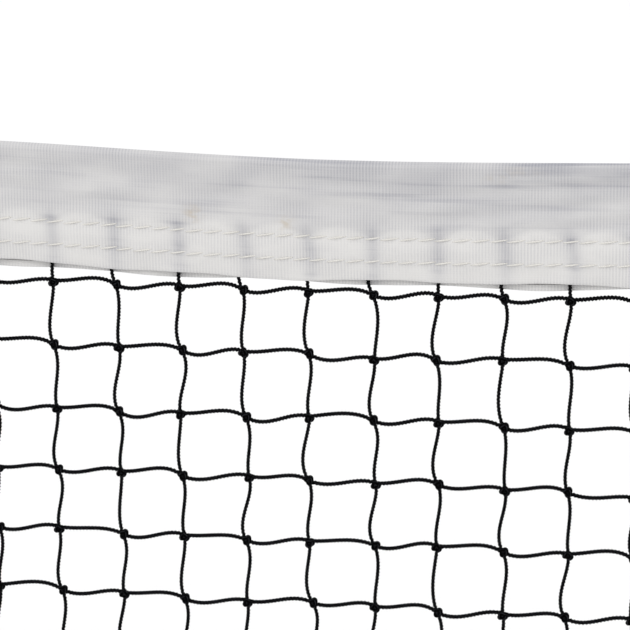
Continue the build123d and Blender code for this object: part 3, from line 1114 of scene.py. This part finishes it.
@dataclass
class Headband:
    """White cloth folded over the cable and sewn through the netting in two rows.

    Depth counts down from the top edge. The wall's distance from the net's middle plane follows
    the cable at the top, draws in below it, is pulled in by the two rows of stitches, and swells
    between them over the open squares of the mesh.
    """

    netting: Netting
    cloth: float = 0.7 * MM
    fold_rows: int = 9
    hem: float = 4.0 * MM
    hem_rows: int = 3
    edge_waves: tuple[tuple[float, float, int], ...] = ((0.8 * MM, 0.31, 1), (0.9 * MM, 0.127, 2))
    front_raise: float = 0.8 * MM
    back_raise: float = 0.6 * MM
    loose_from: float = 70.0 * MM
    fine_half: float = 292.5 * MM
    fine_step: float = 2.25 * MM
    coarse_step: float = 15.0 * MM
    swell: float = 0.75 * MM
    wrinkle: float = 0.42 * MM
    crease_waves: int = 7
    pucker: float = 0.22 * MM
    pucker_reach: float = 1.6 * MM
    stitch_stand: float = 0.15 * MM
    # Strength and reach of the show-through and painted shade along each upright twine, its
    # sideways sway, and the wider painted shade round it.
    stripe: float = 0.25
    stripe_reach: float = 4.4 * MM
    stripe_sway: float = 1.8 * MM
    flank: float = 0.10
    flank_reach: float = 9.0 * MM
    mark_depth: float = 0.5
    front_rows: int = 36
    back_rows: int = 26
    seed: int = 5
    marks: tuple[tuple[float, float, float], ...] = (
        (-0.057, 0.041, 0.0055),
        (0.008, 0.044, 0.0045),
    )
    stitching: Stitching = field(default_factory=Stitching)

    def __post_init__(self) -> None:
        """Read the band's size from the CAD band, its threads and its cable."""
        _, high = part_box("headband")
        jacket_low, jacket_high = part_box("cable_jacket")
        self.top = high.z
        self.half_length = high.x
        self.fold = high.y
        self.cable_z = (jacket_low.z + jacket_high.z) / 2
        verts = corners_of("headband")
        self.depth = {
            Side.BACK: self.top - verts[verts[:, 1] > 0][:, 2].min(),
            Side.FRONT: self.top - verts[verts[:, 1] < 0][:, 2].min(),
        }
        self.seams = {}
        for row in ("upper", "lower"):
            seam_low, seam_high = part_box(f"headband_thread_{row}")
            self.seams[row] = (self.top - (seam_low.z + seam_high.z) / 2, seam_high.x)
        random = np.random.default_rng(self.seed)
        count = self.crease_waves
        self.waves = random.uniform(0, TAU, (2, count))
        along = random.uniform(1.5, 9.0, count)
        down = random.uniform(28, 75, count) * random.choice([-1, 1], count)
        self.wave_numbers = np.stack([along, down])

    def wrinkles(self, x: Array, depth: Array, side: Side) -> Array:
        """Soft creases that run nearly along the band: a sum of cosines of x and depth.

        Args:
            x: Places along the band.
            depth: Depths below the top edge.
            side: The wall.

        Returns:
            How far the cloth stands out, in metres.
        """
        phases = self.waves[0 if side is Side.FRONT else 1]
        total = np.zeros(np.broadcast(x, depth).shape)
        for along, down, phase in zip(*self.wave_numbers, phases):
            total = total + np.cos(TAU * (along * x + down * depth) + phase)
        return self.wrinkle * total / math.sqrt(len(phases))

    def wall(self, x: Array, depth: Array, side: Side) -> Array:
        """Distance of the cloth's outer face from the middle plane, below the fold.

        It is a curve through set distances at set depths, both in millimetres, plus the swell
        over each square, the creases, and a cosine along each seam that puckers the cloth.

        Args:
            x: Places along the band.
            depth: Depths below the top edge.
            side: The wall.

        Returns:
            The distance, in metres.
        """
        upper, lower = self.seams["upper"][0], self.seams["lower"][0]
        places = (4.3, 8.5, 18.0, 34.0, 47.0)
        values = (self.fold / MM, 4.1, 3.2, 3.3, 3.9)
        places += (upper / MM, (upper + lower) / 2 / MM, lower / MM, 77.0, 90.0)
        values += (3.15, 3.55, 3.15)
        values += (3.3, 3.1) if side is Side.FRONT else (2.7, 2.1)
        base = eased(depth / MM, places, values) * MM
        across = self.netting.across(x)
        puffed = np.sqrt(across) * eased(depth / MM, (46.0, 56.0, 66.0, 76.0), (0.0, 1.0, 1.0, 0.0))
        pressed = 2.4 if side is Side.FRONT else 1.0
        puffed = puffed - across * eased(depth / MM, (70.0, 88.0), (0.0, pressed))
        upper_part = eased(depth / MM, (4.3, 14.0, 42.0, 52.0), (0.0, 1.0, 1.0, 0.25))
        near = np.exp(-(((depth - upper) / self.pucker_reach) ** 2))
        near = near + np.exp(-(((depth - lower) / self.pucker_reach) ** 2))
        pucker = self.pucker * near * np.cos(TAU * x / self.stitching.spacing)
        creases = self.wrinkles(x, depth, side) * upper_part
        return base + self.swell * puffed + creases + pucker

    def shade(self, x: Array, depth: Array) -> Array:
        """How much dark shows on the cloth: the dark inside showing through, and painted shade.

        It is largest over the cable and in the painted shade of the hollow under it, fades out
        towards the upper seam in scallops of painted shade between the twines, and follows each
        upright twine below that, widened to a soft stripe of show-through and painted groove shade
        with fainter painted shade round it.

        Args:
            x: Places along the band.
            depth: Depths below the top edge.

        Returns:
            0 for plain cloth, and more for darker.
        """
        across = self.netting.across(x)
        places = (0.0, 3.0, 12.0, 26.0, 42.0, 50.0, 55.0)
        values = (0.42, 0.38, 0.34, 0.28, 0.235, 0.17, 0.0)
        # Beside each twine the hollow's painted shade reaches lower than between twines, which
        # paints scalloped shade above the upper seam.
        hollow = eased(depth / MM + 8.5 * np.sqrt(across) - 1.5, places, values)
        hollow = hollow * (1 + 0.14 * np.sin(TAU * x / 0.9))
        slow, quick = TAU * (5.1 * x + 21 * depth) + 1.0, TAU * 11.3 * x - 0.6
        patchy = 1 + 0.25 * np.cos(slow) * np.cos(quick)
        sway = np.sin(TAU * (depth - 0.05) / 0.09) * (1 + 0.9 * np.cos(TAU * x / 0.21))
        shift = self.stripe_sway * sway
        off = (x - shift) / self.netting.pitch - 0.5
        off = (off - np.round(off)) * self.netting.pitch
        # Stripe: the twine showing through and painted shade in the groove that it pulls in the
        # cloth; flank: wider, fainter painted shade round it.
        places, values = (40.0, 54.0, 66.0, 78.0, 90.0), (0.0, 1.0, 1.0, 0.45, 0.4)
        stripe = self.stripe * np.exp(-((off / self.stripe_reach) ** 2))
        stripe = stripe * eased(depth / MM, places, values)
        flank = self.flank * np.exp(-((off / self.flank_reach) ** 2))
        flank = flank * eased(depth / MM, (40.0, 60.0, 90.0), (0.0, 1.0, 1.0))
        return hollow * patchy + stripe + flank

    def soil(self, x: Array, run: Array) -> Array:
        """Old marks on the front: each is a round spot that fades out as a Gaussian.

        Args:
            x: Places along the band.
            run: Distance from the top edge, below 0 on the front.

        Returns:
            0 for clean cloth, and the marks' depth in the middle of one.
        """
        total = np.zeros(np.broadcast(x, run).shape)
        for at, depth, size in self.marks:
            total = total + np.exp(-(((x - at) ** 2 + (run + depth) ** 2) / size**2))
        return self.mark_depth * total

    def heights(self, x: Array, depth: Array) -> Array:
        """Height of the cloth at a depth: all of the lift at the top, and less of it lower down."""
        return self.top - depth + lift(x) * eased(depth, (0.0, 0.05, 0.09), (1.0, 0.9, 0.8))

    def stations(self) -> Array:
        """Places along the band, close together in the middle and wide apart elsewhere.

        Returns:
            The places, from the left end to the right.
        """
        fine = np.arange(-self.fine_half, self.fine_half + self.fine_step / 2, self.fine_step)
        coarse = np.arange(self.fine_half + self.coarse_step, self.half_length, self.coarse_step)
        coarse = np.append(coarse, self.half_length)
        return np.concatenate([-coarse[::-1], fine, coarse])

    def side_rows(self, side: Side, x: Array) -> tuple[Array, Array, Array]:
        """One wall from the fold down, round its edge and a little way up inside.

        Args:
            side: The wall.
            x: Places along the band.

        Returns:
            y, z and the depth measured along the cloth, each shaped (rows, stations).
        """
        lower = self.depth[side]
        edge_wave = self.back_raise if side is Side.BACK else self.front_raise
        for size, length, turns in self.edge_waves:
            edge_wave = edge_wave + size * np.sin(TAU * x / length + turns * side.value)
        count = self.front_rows if side is Side.FRONT else self.back_rows
        down = np.linspace(self.fold, lower - self.cloth / 2, count)[:, None] + 0 * x
        stretch = np.clip((down - self.loose_from) / (lower - self.loose_from), 0, 1)
        down = down - edge_wave * stretch
        face = self.wall(x, down, side)
        turn = np.linspace(0, math.pi, LIP_STEPS)[1:-1, None]
        radius = self.cloth / 2
        last_y, last_d = face[-1], down[-1]
        round_y = last_y - radius + radius * np.cos(turn)
        round_d = last_d + radius * np.sin(turn)
        inside = np.linspace(0, self.hem, self.hem_rows)[:, None] + 0 * x
        up_d = last_d - inside
        up_y = self.wall(x, up_d, side) - self.cloth
        y = side.value * np.concatenate([face, round_y, up_y])
        depth = np.concatenate([down, round_d, up_d])
        along = np.concatenate([down, round_d, 2 * lower - up_d])
        return y, self.heights(x, depth), along

    def cloth_patch(self) -> Patch:
        """The whole cloth, from the front hem over the cable to the back hem.

        The two walls are joined by a half circle over the cable, of the fold's radius.

        Returns:
            The cloth, with its painted shade and show-through, and its marks.
        """
        x = self.stations()
        front_y, front_z, front_d = self.side_rows(Side.FRONT, x)
        back_y, back_z, back_d = self.side_rows(Side.BACK, x)
        angle = np.linspace(-math.pi / 2, math.pi / 2, self.fold_rows + 2)[1:-1, None] + 0 * x
        crest = 1 + 0.05 * np.cos(TAU * x / 0.19 + 0.7) * np.cos(TAU * x / 0.57)
        fold_y = self.fold * np.sin(angle) * crest
        fold_z = self.cable_z + self.fold * np.cos(angle) + lift(x)
        fold_d = self.fold * angle
        y = np.concatenate([front_y[::-1], fold_y, back_y])
        z = np.concatenate([front_z[::-1], fold_z, back_z])
        run = np.concatenate([-front_d[::-1], fold_d, back_d])
        along = np.broadcast_to(x, y.shape)
        points = np.stack([along, y, z], axis=-1).transpose(1, 0, 2)
        uv = np.stack([along, run], axis=-1).transpose(1, 0, 2)
        shade = self.shade(along, np.abs(run)).T
        return grid(points, uv, shade=shade, mark=self.soil(along, run).T)

    def seam_patch(self, row: str) -> list[Patch]:
        """One row of stitches on both faces.

        Args:
            row: upper or lower.

        Returns:
            The front row and the back one.
        """
        depth, reach = self.seams[row]
        x, stations = self.stitching.places(-reach, reach), self.stations()
        patches = []
        for side in Side:
            face = np.interp(x, stations, self.wall(stations, np.full_like(stations, depth), side))
            y = side.value * (face + self.stitch_stand)
            base = np.stack([x, y, self.heights(x, np.full_like(x, depth))], axis=-1)
            patches.append(self.stitching.row(base, X_AXIS, Z_AXIS, side.value * Y_AXIS))
        return patches

    def build(self) -> list[bpy.types.Object]:
        """Make the cloth and its two rows of stitches.

        Returns:
            The cloth and the two rows.
        """
        cloth = piece("headband_cloth", [self.cloth_patch()], WHITE_CLOTH.material())
        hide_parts("headband")
        settle(cloth, "net")
        width = sum(self.depth.values()) + (math.pi - 2) * self.fold + 2 * self.hem
        thread = WHITE_THREAD.material()
        rows = []
        for row in self.seams:
            sewn = piece(f"headband_stitches_{row}", self.seam_patch(row), thread)
            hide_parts(f"headband_thread_{row}")
            settle(sewn, "net")
            rows.append(sewn)
        return [cloth, *rows]


# ---------------------------------------------------------------- bottom band

@dataclass
class BottomBand:
    """Dark cloth folded up round the bottom line and sewn once through the lowest squares."""

    netting: Netting
    cloth: float = 0.7 * MM
    hem: float = 3.0 * MM
    hem_rows: int = 3
    wall_rows: int = 9
    fold_rows: int = 7
    step: float = 15.0 * MM
    swell: float = 0.35 * MM
    ripple: float = 0.2 * MM
    stitch_stand: float = 0.15 * MM
    stitching: Stitching = field(default_factory=Stitching.flat)

    def __post_init__(self) -> None:
        """Read the band's size from the CAD band and its thread."""
        _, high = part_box("bottom_band")
        self.height = high.z
        self.fold = high.y
        self.half_length = high.x
        seam_low, seam_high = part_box("bottom_band_thread")
        self.seam = (seam_low.z + seam_high.z) / 2
        self.seam_reach = seam_high.x

    def wall(self, x: Array, height: Array) -> Array:
        """Distance of the cloth's outer face from the middle plane, above the fold.

        It is a curve through set distances at set heights, both in millimetres, plus the swell
        over each square and a slow sine.

        Args:
            x: Places along the band.
            height: Heights above its lowest edge.

        Returns:
            The distance, in metres.
        """
        places = (self.fold / MM, 16.0, 30.0, self.seam / MM, 55.0)
        values = (self.fold / MM, 3.7, 4.0, 3.3, 3.6)
        base = eased(height / MM, places, values) * MM
        loose = eased(height / MM, (4.3, 14.0, 55.0), (0.0, 1.0, 1.0))
        ripple = self.ripple * np.sin(TAU * (3.1 * x + 40 * height))
        return base + (self.swell * self.netting.across(x) + ripple) * loose

    def stations(self) -> Array:
        """Places along the band."""
        x = np.arange(-self.half_length, self.half_length, self.step)
        return np.append(x, self.half_length)

    def cloth_patch(self) -> Patch:
        """The whole cloth, from the back edge under the line to the front edge.

        Returns:
            The cloth.
        """
        x = self.stations()
        down = np.linspace(self.height - self.cloth / 2, self.fold, self.wall_rows)[:, None] + 0 * x
        face = self.wall(x, down)
        inside = np.linspace(self.hem, 0, self.hem_rows)[:, None] + 0 * x
        in_z = down[:1] - inside
        in_y = self.wall(x, in_z) - self.cloth
        turn = np.linspace(math.pi, 0, LIP_STEPS)[1:-1, None]
        round_y = face[:1] - self.cloth / 2 + self.cloth / 2 * np.cos(turn)
        round_z = down[:1] + self.cloth / 2 * np.sin(turn)
        side_y = np.concatenate([in_y, round_y, face])
        side_z = np.concatenate([in_z, round_z, down])
        angle = np.linspace(math.pi / 2, -math.pi / 2, self.fold_rows + 2)[1:-1, None] + 0 * x
        fold_y = self.fold * np.sin(angle)
        fold_z = self.fold * (1 - np.cos(angle))
        y = np.concatenate([side_y, fold_y, -side_y[::-1]])
        z = np.concatenate([side_z, fold_z, side_z[::-1]])
        along = np.broadcast_to(x, y.shape)
        points = np.stack([along, y, z], axis=-1).transpose(1, 0, 2)
        run = run_along(points[0])
        uv = np.stack([along.T, np.broadcast_to(run, along.T.shape)], axis=-1)
        self.width = float(run[-1])
        return grid(points, uv)

    def build(self) -> list[bpy.types.Object]:
        """Make the cloth and its row of stitches.

        Returns:
            The cloth and the row.
        """
        cloth = piece("bottom_band_cloth", [self.cloth_patch()], BLACK_CLOTH.material())
        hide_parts("bottom_band")
        settle(cloth, "net")
        x, stations = self.stitching.places(-self.seam_reach, self.seam_reach), self.stations()
        patches = []
        for side in Side:
            face = np.interp(x, stations, self.wall(stations, np.full_like(stations, self.seam)))
            y = side.value * (face + self.stitch_stand)
            base = np.stack([x, y, np.full_like(x, self.seam)], axis=-1)
            patches.append(self.stitching.row(base, X_AXIS, Z_AXIS, side.value * Y_AXIS))
        seam = piece("bottom_band_stitches", patches, BLACK_THREAD.material())
        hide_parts("bottom_band_thread")
        settle(seam, "net")
        return [cloth, seam]


# ---------------------------------------------------------------- ends of the net

def outline_normals(outline: Array) -> Array:
    """Outward directions of a flat outline that is walked with its outside on the right.

    Args:
        outline: Its points, shaped (n, 2).

    Returns:
        The directions, shaped (n, 2).
    """
    ahead = unit(np.gradient(outline, axis=0))
    return np.stack([ahead[:, 1], -ahead[:, 0]], axis=-1)


@dataclass
class NetEnd:
    """One end of the net: side band, dowel pocket, and the seams of both."""

    end: End
    cloth: float = 0.7 * MM
    hem: float = 4.0 * MM
    hole_half: float = 4.2 * MM
    hole_margin: float = 1.5 * MM
    eyelets: int = 5
    crease: float = 0.16 * MM
    band_stations: int = 220
    band_points: int = 12
    bend_points: int = 9
    pocket_stations: int = 180
    arch_points: int = 15
    pocket_seat: float = 0.05 * MM
    pocket_crease: float = 0.18 * MM
    pocket_turn: float = 5.0 * MM
    foot_gap: float = 1.2 * MM
    knee: tuple[float, float] = (0.3 * MM, 0.5 * MM)
    thread_reach: float = 2.0 * MM
    stitch_inset: float = 0.3 * MM
    stitching: Stitching = field(default_factory=Stitching.flat)

    def __post_init__(self) -> None:
        """Read the sizes of the right-hand pieces from the CAD."""
        low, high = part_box("side_band_right")
        self.inner, self.outer = low.x, high.x
        self.face = high.y
        self.band_top = high.z
        pocket_low, pocket_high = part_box("dowel_pocket_right")
        self.pocket_side = pocket_high.x
        self.pocket_z = (pocket_low.z, pocket_high.z)
        self.pocket_reach = pocket_high.y
        dowel_low, dowel_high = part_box("dowel_right")
        self.dowel = ((dowel_low.x + dowel_high.x) / 2, (dowel_low.y + dowel_high.y) / 2)
        eyelet_low, eyelet_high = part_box("eyelets_right")
        self.eyelet_x = (eyelet_low.x + eyelet_high.x) / 2
        self.flange = (eyelet_high.x - eyelet_low.x) / 2
        lowest, highest = eyelet_low.z + self.flange, eyelet_high.z - self.flange
        self.eyelet_z = np.linspace(lowest, highest, self.eyelets)

    def band_patch(self) -> Patch:
        """The band, from its front inner edge round the end of the net to its back inner edge.

        The outline is carried up the net, and each point moves out by a small crease along the
        outline's normal, except under the eyelets, where the flanges press it flat.

        Returns:
            The band, with a square hole under each eyelet.
        """
        radius = self.face
        centre = self.outer - radius
        straight = np.linspace(self.inner, centre, self.band_points)
        straight = self.around_holes(straight, np.array([self.eyelet_x]))
        angle = np.linspace(-math.pi / 2, math.pi / 2, self.bend_points + 2)[1:-1]
        front = np.stack([straight, np.full_like(straight, -radius)], axis=-1)
        bend = np.stack([centre + radius * np.cos(angle), radius * np.sin(angle)], axis=-1)
        outer = np.concatenate([front, bend, front[::-1] * np.array([1, -1])])
        normal = outline_normals(outer)
        edge = np.array([[self.inner + self.hem, -radius], [self.inner, -radius]])
        edge = edge + np.array([0.0, self.cloth])
        z = self.around_holes(np.linspace(0, self.band_top, self.band_stations), self.eyelet_z)
        apart = (z[:, None] - self.eyelet_z) / (2 * self.flange)
        loose = 1 - np.exp(-(apart**2).min(axis=1))
        arc = np.linspace(0, 1, len(outer))[:, None]
        crease = np.sin(TAU * (z * 9.3 + 2.0 * arc)) * np.sin(TAU * (z * 23.7 - arc))
        crease = self.crease * (crease - 1) * loose
        body = outer[:, None] + normal[:, None] * crease[..., None]
        hem = np.broadcast_to(edge[:, None], (2, len(z), 2))
        rim = np.concatenate([hem, body, hem[::-1] * np.array([1, -1])])
        tall = np.broadcast_to(z[None, :, None], rim.shape[:2] + (1,))
        points = np.concatenate([rim, tall], axis=-1)
        run = run_along(points[:, 0])
        self.band_width = float(run[-1])
        uv = np.stack(np.broadcast_arrays(z[None, :], run[:, None]), axis=-1)
        middle = (points[1:, 1:] + points[:-1, :-1]) / 2
        holes = np.abs(middle[..., 0] - self.eyelet_x) < self.hole_half
        holes &= (np.abs(middle[..., 2:] - self.eyelet_z) < self.hole_half).any(axis=-1)
        return grid(self.end.turned(points), uv, holes)

    def around_holes(self, places: Array, centres: Array) -> Array:
        """The places with none inside a hole, and one on each of the holes' two edges.

        Args:
            places: Places along one direction.
            centres: Middles of the holes.

        Returns:
            The places that are left and the edges, in rising order.
        """
        apart = np.abs(places[:, None] - centres).min(axis=1)
        clear = apart > self.hole_half + self.hole_margin
        edges = np.concatenate([centres - self.hole_half, centres + self.hole_half])
        return np.sort(np.concatenate([places[clear], edges]))

    def pocket_patch(self) -> list[Patch]:
        """The sleeve over the dowel, its flat edges, its turned top and its closed bottom.

        Returns:
            The sleeve and its bottom.
        """
        dowel_x, dowel_y = self.dowel
        radius = self.pocket_reach - dowel_y
        face = self.face + self.pocket_seat + self.cloth
        angle = np.linspace(0, math.pi, self.arch_points)
        arch = np.stack([dowel_x + radius * np.cos(angle), dowel_y + radius * np.sin(angle)], -1)
        flank = dowel_x + radius
        foot = np.array([[self.pocket_side, face], [flank + self.foot_gap, face]])
        knee = np.array([[flank, face]]) + np.array(self.knee)
        mirror = np.array([-1.0, 1.0])
        about = np.array([2 * dowel_x, 0.0])
        outline = np.concatenate(
            [foot, knee, arch, knee * mirror + about, foot[::-1] * mirror + about]
        )
        low, high = self.pocket_z
        z = np.linspace(low, high, self.pocket_stations)
        normal = outline_normals(outline)
        round_part = np.clip((outline[:, 1] - face) / (self.pocket_reach - face), 0, 1)
        arc = np.linspace(0, 1, len(outline))[:, None]
        soft = np.sin(TAU * (z * 7.1 + 1.5 * arc)) * np.sin(TAU * (z * 17.3 - 2 * arc) + 1)
        crease = self.pocket_crease * (soft - 1) * round_part[:, None]
        body = outline[:, None] + crease[..., None] * normal[:, None]
        tall = np.broadcast_to(z[None, :, None], body.shape[:2] + (1,))
        outside = np.concatenate([body, tall], axis=-1)
        inner = body[:, -1:] - normal[:, None] * self.cloth
        lowered = np.array([0.0, self.pocket_turn])
        inner = np.broadcast_to(inner, (len(outline), 2, 2))
        inner_z = np.broadcast_to((high - lowered)[None, :, None], inner.shape[:2] + (1,))
        inside = np.concatenate([inner, inner_z], axis=-1)
        points = np.concatenate([outside, inside], axis=1)
        run = run_along(points[:, 0])
        self.pocket_width = float(run[-1])
        heights = np.append(z, high + lowered)
        uv = np.stack(np.broadcast_arrays(heights[None, :], run[:, None]), axis=-1)
        sleeve = grid(self.end.turned(points), uv)
        hollow = outside[2:-2, 0]
        floor = hollow * np.array([1, 0, 1]) + np.array([0, face, 0])
        base = np.stack([floor, hollow], axis=1)
        return [sleeve, grid(self.end.turned(base), base[..., :2])]

    def seam_rows(self, node: str) -> list[Patch]:
        """Stitches along every straight thread of a CAD node, on the faces that it lies on.

        Args:
            node: The thread's CAD node.

        Returns:
            The stitches, one patch for each thread.
        """
        verts = self.end.turned(corners_of(node))
        low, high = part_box(node)
        rows = np.unique(np.round(verts[:, :2] / MM), axis=0) * MM
        groups: list[Array] = []
        for place in rows:
            if all(np.linalg.norm(place - g) > self.thread_reach for g in groups):
                apart = np.linalg.norm(verts[:, :2] - place, axis=1)
                near = verts[apart < self.thread_reach, :2]
                groups.append((near.min(axis=0) + near.max(axis=0)) / 2)
        z = self.stitching.places(low.z, high.z)
        patches = []
        for x, y in groups:
            out = math.copysign(1.0, y) * Y_AXIS
            base = np.stack([np.full_like(z, x), np.full_like(z, y), z], axis=-1)
            base = base - self.stitch_inset * out
            patch = self.stitching.row(base, Z_AXIS, X_AXIS, out)
            patches.append(Patch(self.end.turned(patch.points), patch.faces, patch.uvs))
        return patches

    def build(self) -> list[bpy.types.Object]:
        """Make the band, the pocket and their seams.

        Returns:
            The band, the pocket and the seams of each.
        """
        word = self.end.word
        cloth, thread = BLACK_CLOTH.material(), BLACK_THREAD.material()
        band = piece(f"side_band_cloth_{word}", [self.band_patch()], cloth)
        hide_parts(f"side_band_{word}")
        pocket = piece(f"dowel_pocket_cloth_{word}", self.pocket_patch(), cloth)
        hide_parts(f"dowel_pocket_{word}")
        rows = self.seam_rows(f"side_band_thread_{word}")
        band_seams = piece(f"side_band_stitches_{word}", rows, thread)
        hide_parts(f"side_band_thread_{word}")
        rows = self.seam_rows(f"pocket_thread_{word}")
        pocket_seams = piece(f"dowel_pocket_stitches_{word}", rows, thread)
        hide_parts(f"pocket_thread_{word}")
        for part in (band, pocket):
            settle(part, "net")
        for part in (band_seams, pocket_seams):
            settle(part, "net")
        return [band, pocket, band_seams, pocket_seams]


# ---------------------------------------------------------------- cable

@dataclass
class WireRope:
    """The cable's steel rope: six strands wound round the whole route, bare at the two eyes."""

    strands: int = 6
    lay: float = 30.0 * MM
    strand_depth: float = 0.10
    neck_radius: float = 30.0 * MM
    eye_reach: float = 48.0 * MM
    eye_radius: float = 12.5 * MM
    tail: float = 70.0 * MM
    step: float = 1.0 * MM
    neck_steps: int = 8
    wrap_steps: int = 30
    hidden_step: float = 200.0 * MM

    def __post_init__(self) -> None:
        """Read the rope's thickness and height from the CAD core and jacket."""
        low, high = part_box("cable_core")
        self.radius = (high.y - low.y) / 2
        self.tip = high.x - self.radius
        jacket_low, jacket_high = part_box("cable_jacket")
        self.height = (jacket_low.z + jacket_high.z) / 2
        self.jacket_end = jacket_high.x
        self.middle = (low.z + high.z) / 2
        self.offset = self.height - self.middle

    def eye(self) -> Array:
        """Route of the right-hand eye, from inside the jacket round the eye and back.

        Above the eye's middle line it is a straight, an arc of the neck's radius that bends up, the
        tangent that crosses to the eye's circle, and that circle to its outermost point. The
        lower half is its mirror image.

        Returns:
            Places in the upright plane, from the eye's middle line, shaped (n, 2).
        """
        start = self.tip - self.eye_radius - self.eye_reach
        rise = self.offset + self.neck_radius
        between = math.hypot(self.eye_reach, rise)
        lean = math.asin((self.neck_radius + self.eye_radius) / between)
        lean -= math.atan2(rise, self.eye_reach)
        straight = np.arange(self.jacket_end - self.step, start, self.step)
        straight = np.stack([straight, np.full_like(straight, self.offset)], axis=-1)
        neck = np.linspace(0, lean, self.neck_steps)
        neck = np.stack(
            [start + self.neck_radius * np.sin(neck), rise - self.neck_radius * np.cos(neck)], -1
        )
        wrap = np.linspace(math.pi / 2 + lean, 0, self.wrap_steps)
        eye_x = start + self.eye_reach
        wrap = self.eye_radius * np.stack([np.cos(wrap), np.sin(wrap)], axis=-1)
        wrap = wrap + np.array([eye_x, 0.0])
        count = int(np.linalg.norm(wrap[0] - neck[-1]) / self.step)
        share = np.linspace(0, 1, count + 1)[1:-1, None]
        tangent = neck[-1] * (1 - share) + wrap[0] * share
        upper = np.concatenate([straight, neck, tangent, wrap])
        lower = upper[-2::-1] * np.array([1, -1])
        lower = lower[lower[:, 0] >= start - self.tail]
        return np.concatenate([upper, lower])

    def build(self) -> bpy.types.Object:
        """Make the rope from one returned tail to the other.

        Returns:
            The rope.
        """
        eye = self.eye()
        hidden = np.arange(-self.jacket_end + self.hidden_step, self.jacket_end, self.hidden_step)
        hidden = np.stack([hidden, np.full_like(hidden, self.offset)], axis=-1)
        route = np.concatenate([eye[::-1] * np.array([-1, 1]), hidden, eye])
        line = np.stack([route[:, 0], np.zeros(len(route)), route[:, 1] + self.middle], axis=-1)
        radius = self.radius * (1 - self.strand_depth)
        turn = -TAU * run_along(line) / self.lay
        sides = 2 * self.strands
        tube = tubes(line[None], radius, sides, Y_AXIS, turn=turn, lobe=self.strand_depth)
        rope = piece("wire_rope", [tube], WIRE_ROPE.material())
        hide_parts("cable_core")
        settle(rope, "cable")
        return rope


# ---------------------------------------------------------------- pieces kept from the CAD

@dataclass(frozen=True)
class Hardware:
    """The rigid pieces whose CAD shape stays, and the finish that each one gets."""

    finishes: tuple[tuple[SolidFinish, tuple[str, ...]], ...] = (
        (CABLE_VINYL, ("cable_jacket",)),
        (GALVANISED, ("thimble_left", "thimble_right")),
        (PRESSED_ALUMINIUM, ("cable_sleeves_left", "cable_sleeves_right")),
        (BRASS, ("eyelets_left", "eyelets_right", "eyelet_washers_left", "eyelet_washers_right")),
        (GLASS_FIBRE, ("dowel_left", "dowel_right")),
        (CAP_RUBBER, ("dowel_caps_left", "dowel_caps_right")),
        (BOTTOM_ROPE, ("bottom_line",)),
    )

    def dress(self) -> None:
        """Put each finish in its nodes' material slots."""
        for finish, names in self.finishes:
            material = finish.material()
            for name in names:
                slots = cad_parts[name].data.materials
                slots.clear()
                slots.append(material)
                LOG.info("%s: %s", name, finish.name)


# ---------------------------------------------------------------- stage

@dataclass(frozen=True)
class Studio:
    """Pale floor, soft light from all round, and the camera."""

    azimuth: float = 10.7
    elevation: float = 14.4
    roll: float = -0.5
    distance: float = 2.25
    lens: float = 187.6
    aim: tuple[float, float, float] = (0.0271, 0.0, 0.9612)
    floor_half: float = 400.0
    floor_drop: float = 0.2 * MM
    floor_colour: tuple[float, float, float] = (0.83, 0.83, 0.83)
    floor_worn: tuple[float, float, float] = (0.81, 0.81, 0.81)
    sky_strength: float = 1.0
    sun_strength: float = 0.9
    sun_angle: float = 40.0
    sun_turn: tuple[float, float] = (38.0, -32.0)

    def camera(self) -> None:
        """Stand the camera off along its azimuth and elevation, and look at the aim point."""
        azimuth, elevation = math.radians(self.azimuth), math.radians(self.elevation)
        back = Vector(
            (
                math.sin(azimuth) * math.cos(elevation),
                -math.cos(azimuth) * math.cos(elevation),
                math.sin(elevation),
            )
        )
        data = bpy.data.cameras.new("camera")
        data.lens = self.lens
        data.clip_end = 3 * self.floor_half
        camera = bpy.data.objects.new("camera", data)
        turn = (-back).to_track_quat("-Z", "Y").to_matrix()
        turn = turn @ Matrix.Rotation(math.radians(self.roll), 3, "Z")
        place = Matrix.Translation(Vector(self.aim) + back * self.distance)
        camera.matrix_world = place @ turn.to_4x4()
        bpy.context.scene.collection.objects.link(camera)
        bpy.context.scene.camera = camera

    def floor(self) -> None:
        """A large plain floor just under the net."""
        half = self.floor_half
        corners = np.array([[-half, -half], [half, -half], [half, half], [-half, half]])
        points = np.column_stack([corners, np.full(4, -self.floor_drop)])
        nodes = Nodes("pale floor")
        grain = nodes.noise(nodes.places("Object", (0.7, 0.7, 0.7)))
        colour = nodes.mix(nodes.math("MULTIPLY", grain, 0.04), self.floor_colour, self.floor_worn)
        nodes.set(Base_Color=colour, Roughness=0.9, Specular_IOR_Level=0.0)
        quad = Patch(points, [np.array([[0, 1, 2, 3]])], [corners[None]])
        piece("floor", [quad], nodes.material)

    def lights(self) -> None:
        """An even pale sky, and one broad soft sun from the front, above and to the left."""
        world = bpy.data.worlds.new("studio")
        world.use_nodes = True
        background = world.node_tree.nodes["Background"]
        background.inputs[0].default_value = (1.0, 1.0, 1.0, 1.0)
        background.inputs[1].default_value = self.sky_strength
        bpy.context.scene.world = world
        data = bpy.data.lights.new("soft_sun", "SUN")
        data.energy = self.sun_strength
        data.angle = math.radians(self.sun_angle)
        sun = bpy.data.objects.new("soft_sun", data)
        sun.rotation_euler = (math.radians(self.sun_turn[0]), 0.0, math.radians(self.sun_turn[1]))
        bpy.context.scene.collection.objects.link(sun)

    def build(self) -> None:
        """Set up the camera, the floor, the lights and a plain colour transform."""
        self.camera()
        self.floor()
        self.lights()
        bpy.context.scene.view_settings.view_transform = "Standard"


def main() -> None:
    """Build the stage and every piece in order."""
    logging.basicConfig(level=logging.INFO, format="%(name)s: %(message)s")
    Studio().build()
    netting = Netting()
    netting.build()
    Headband(netting).build()
    BottomBand(netting).build()
    for end in End:
        NetEnd(end).build()
    WireRope().build()
    Hardware().dress()


if __name__ == "__main__":
    main()
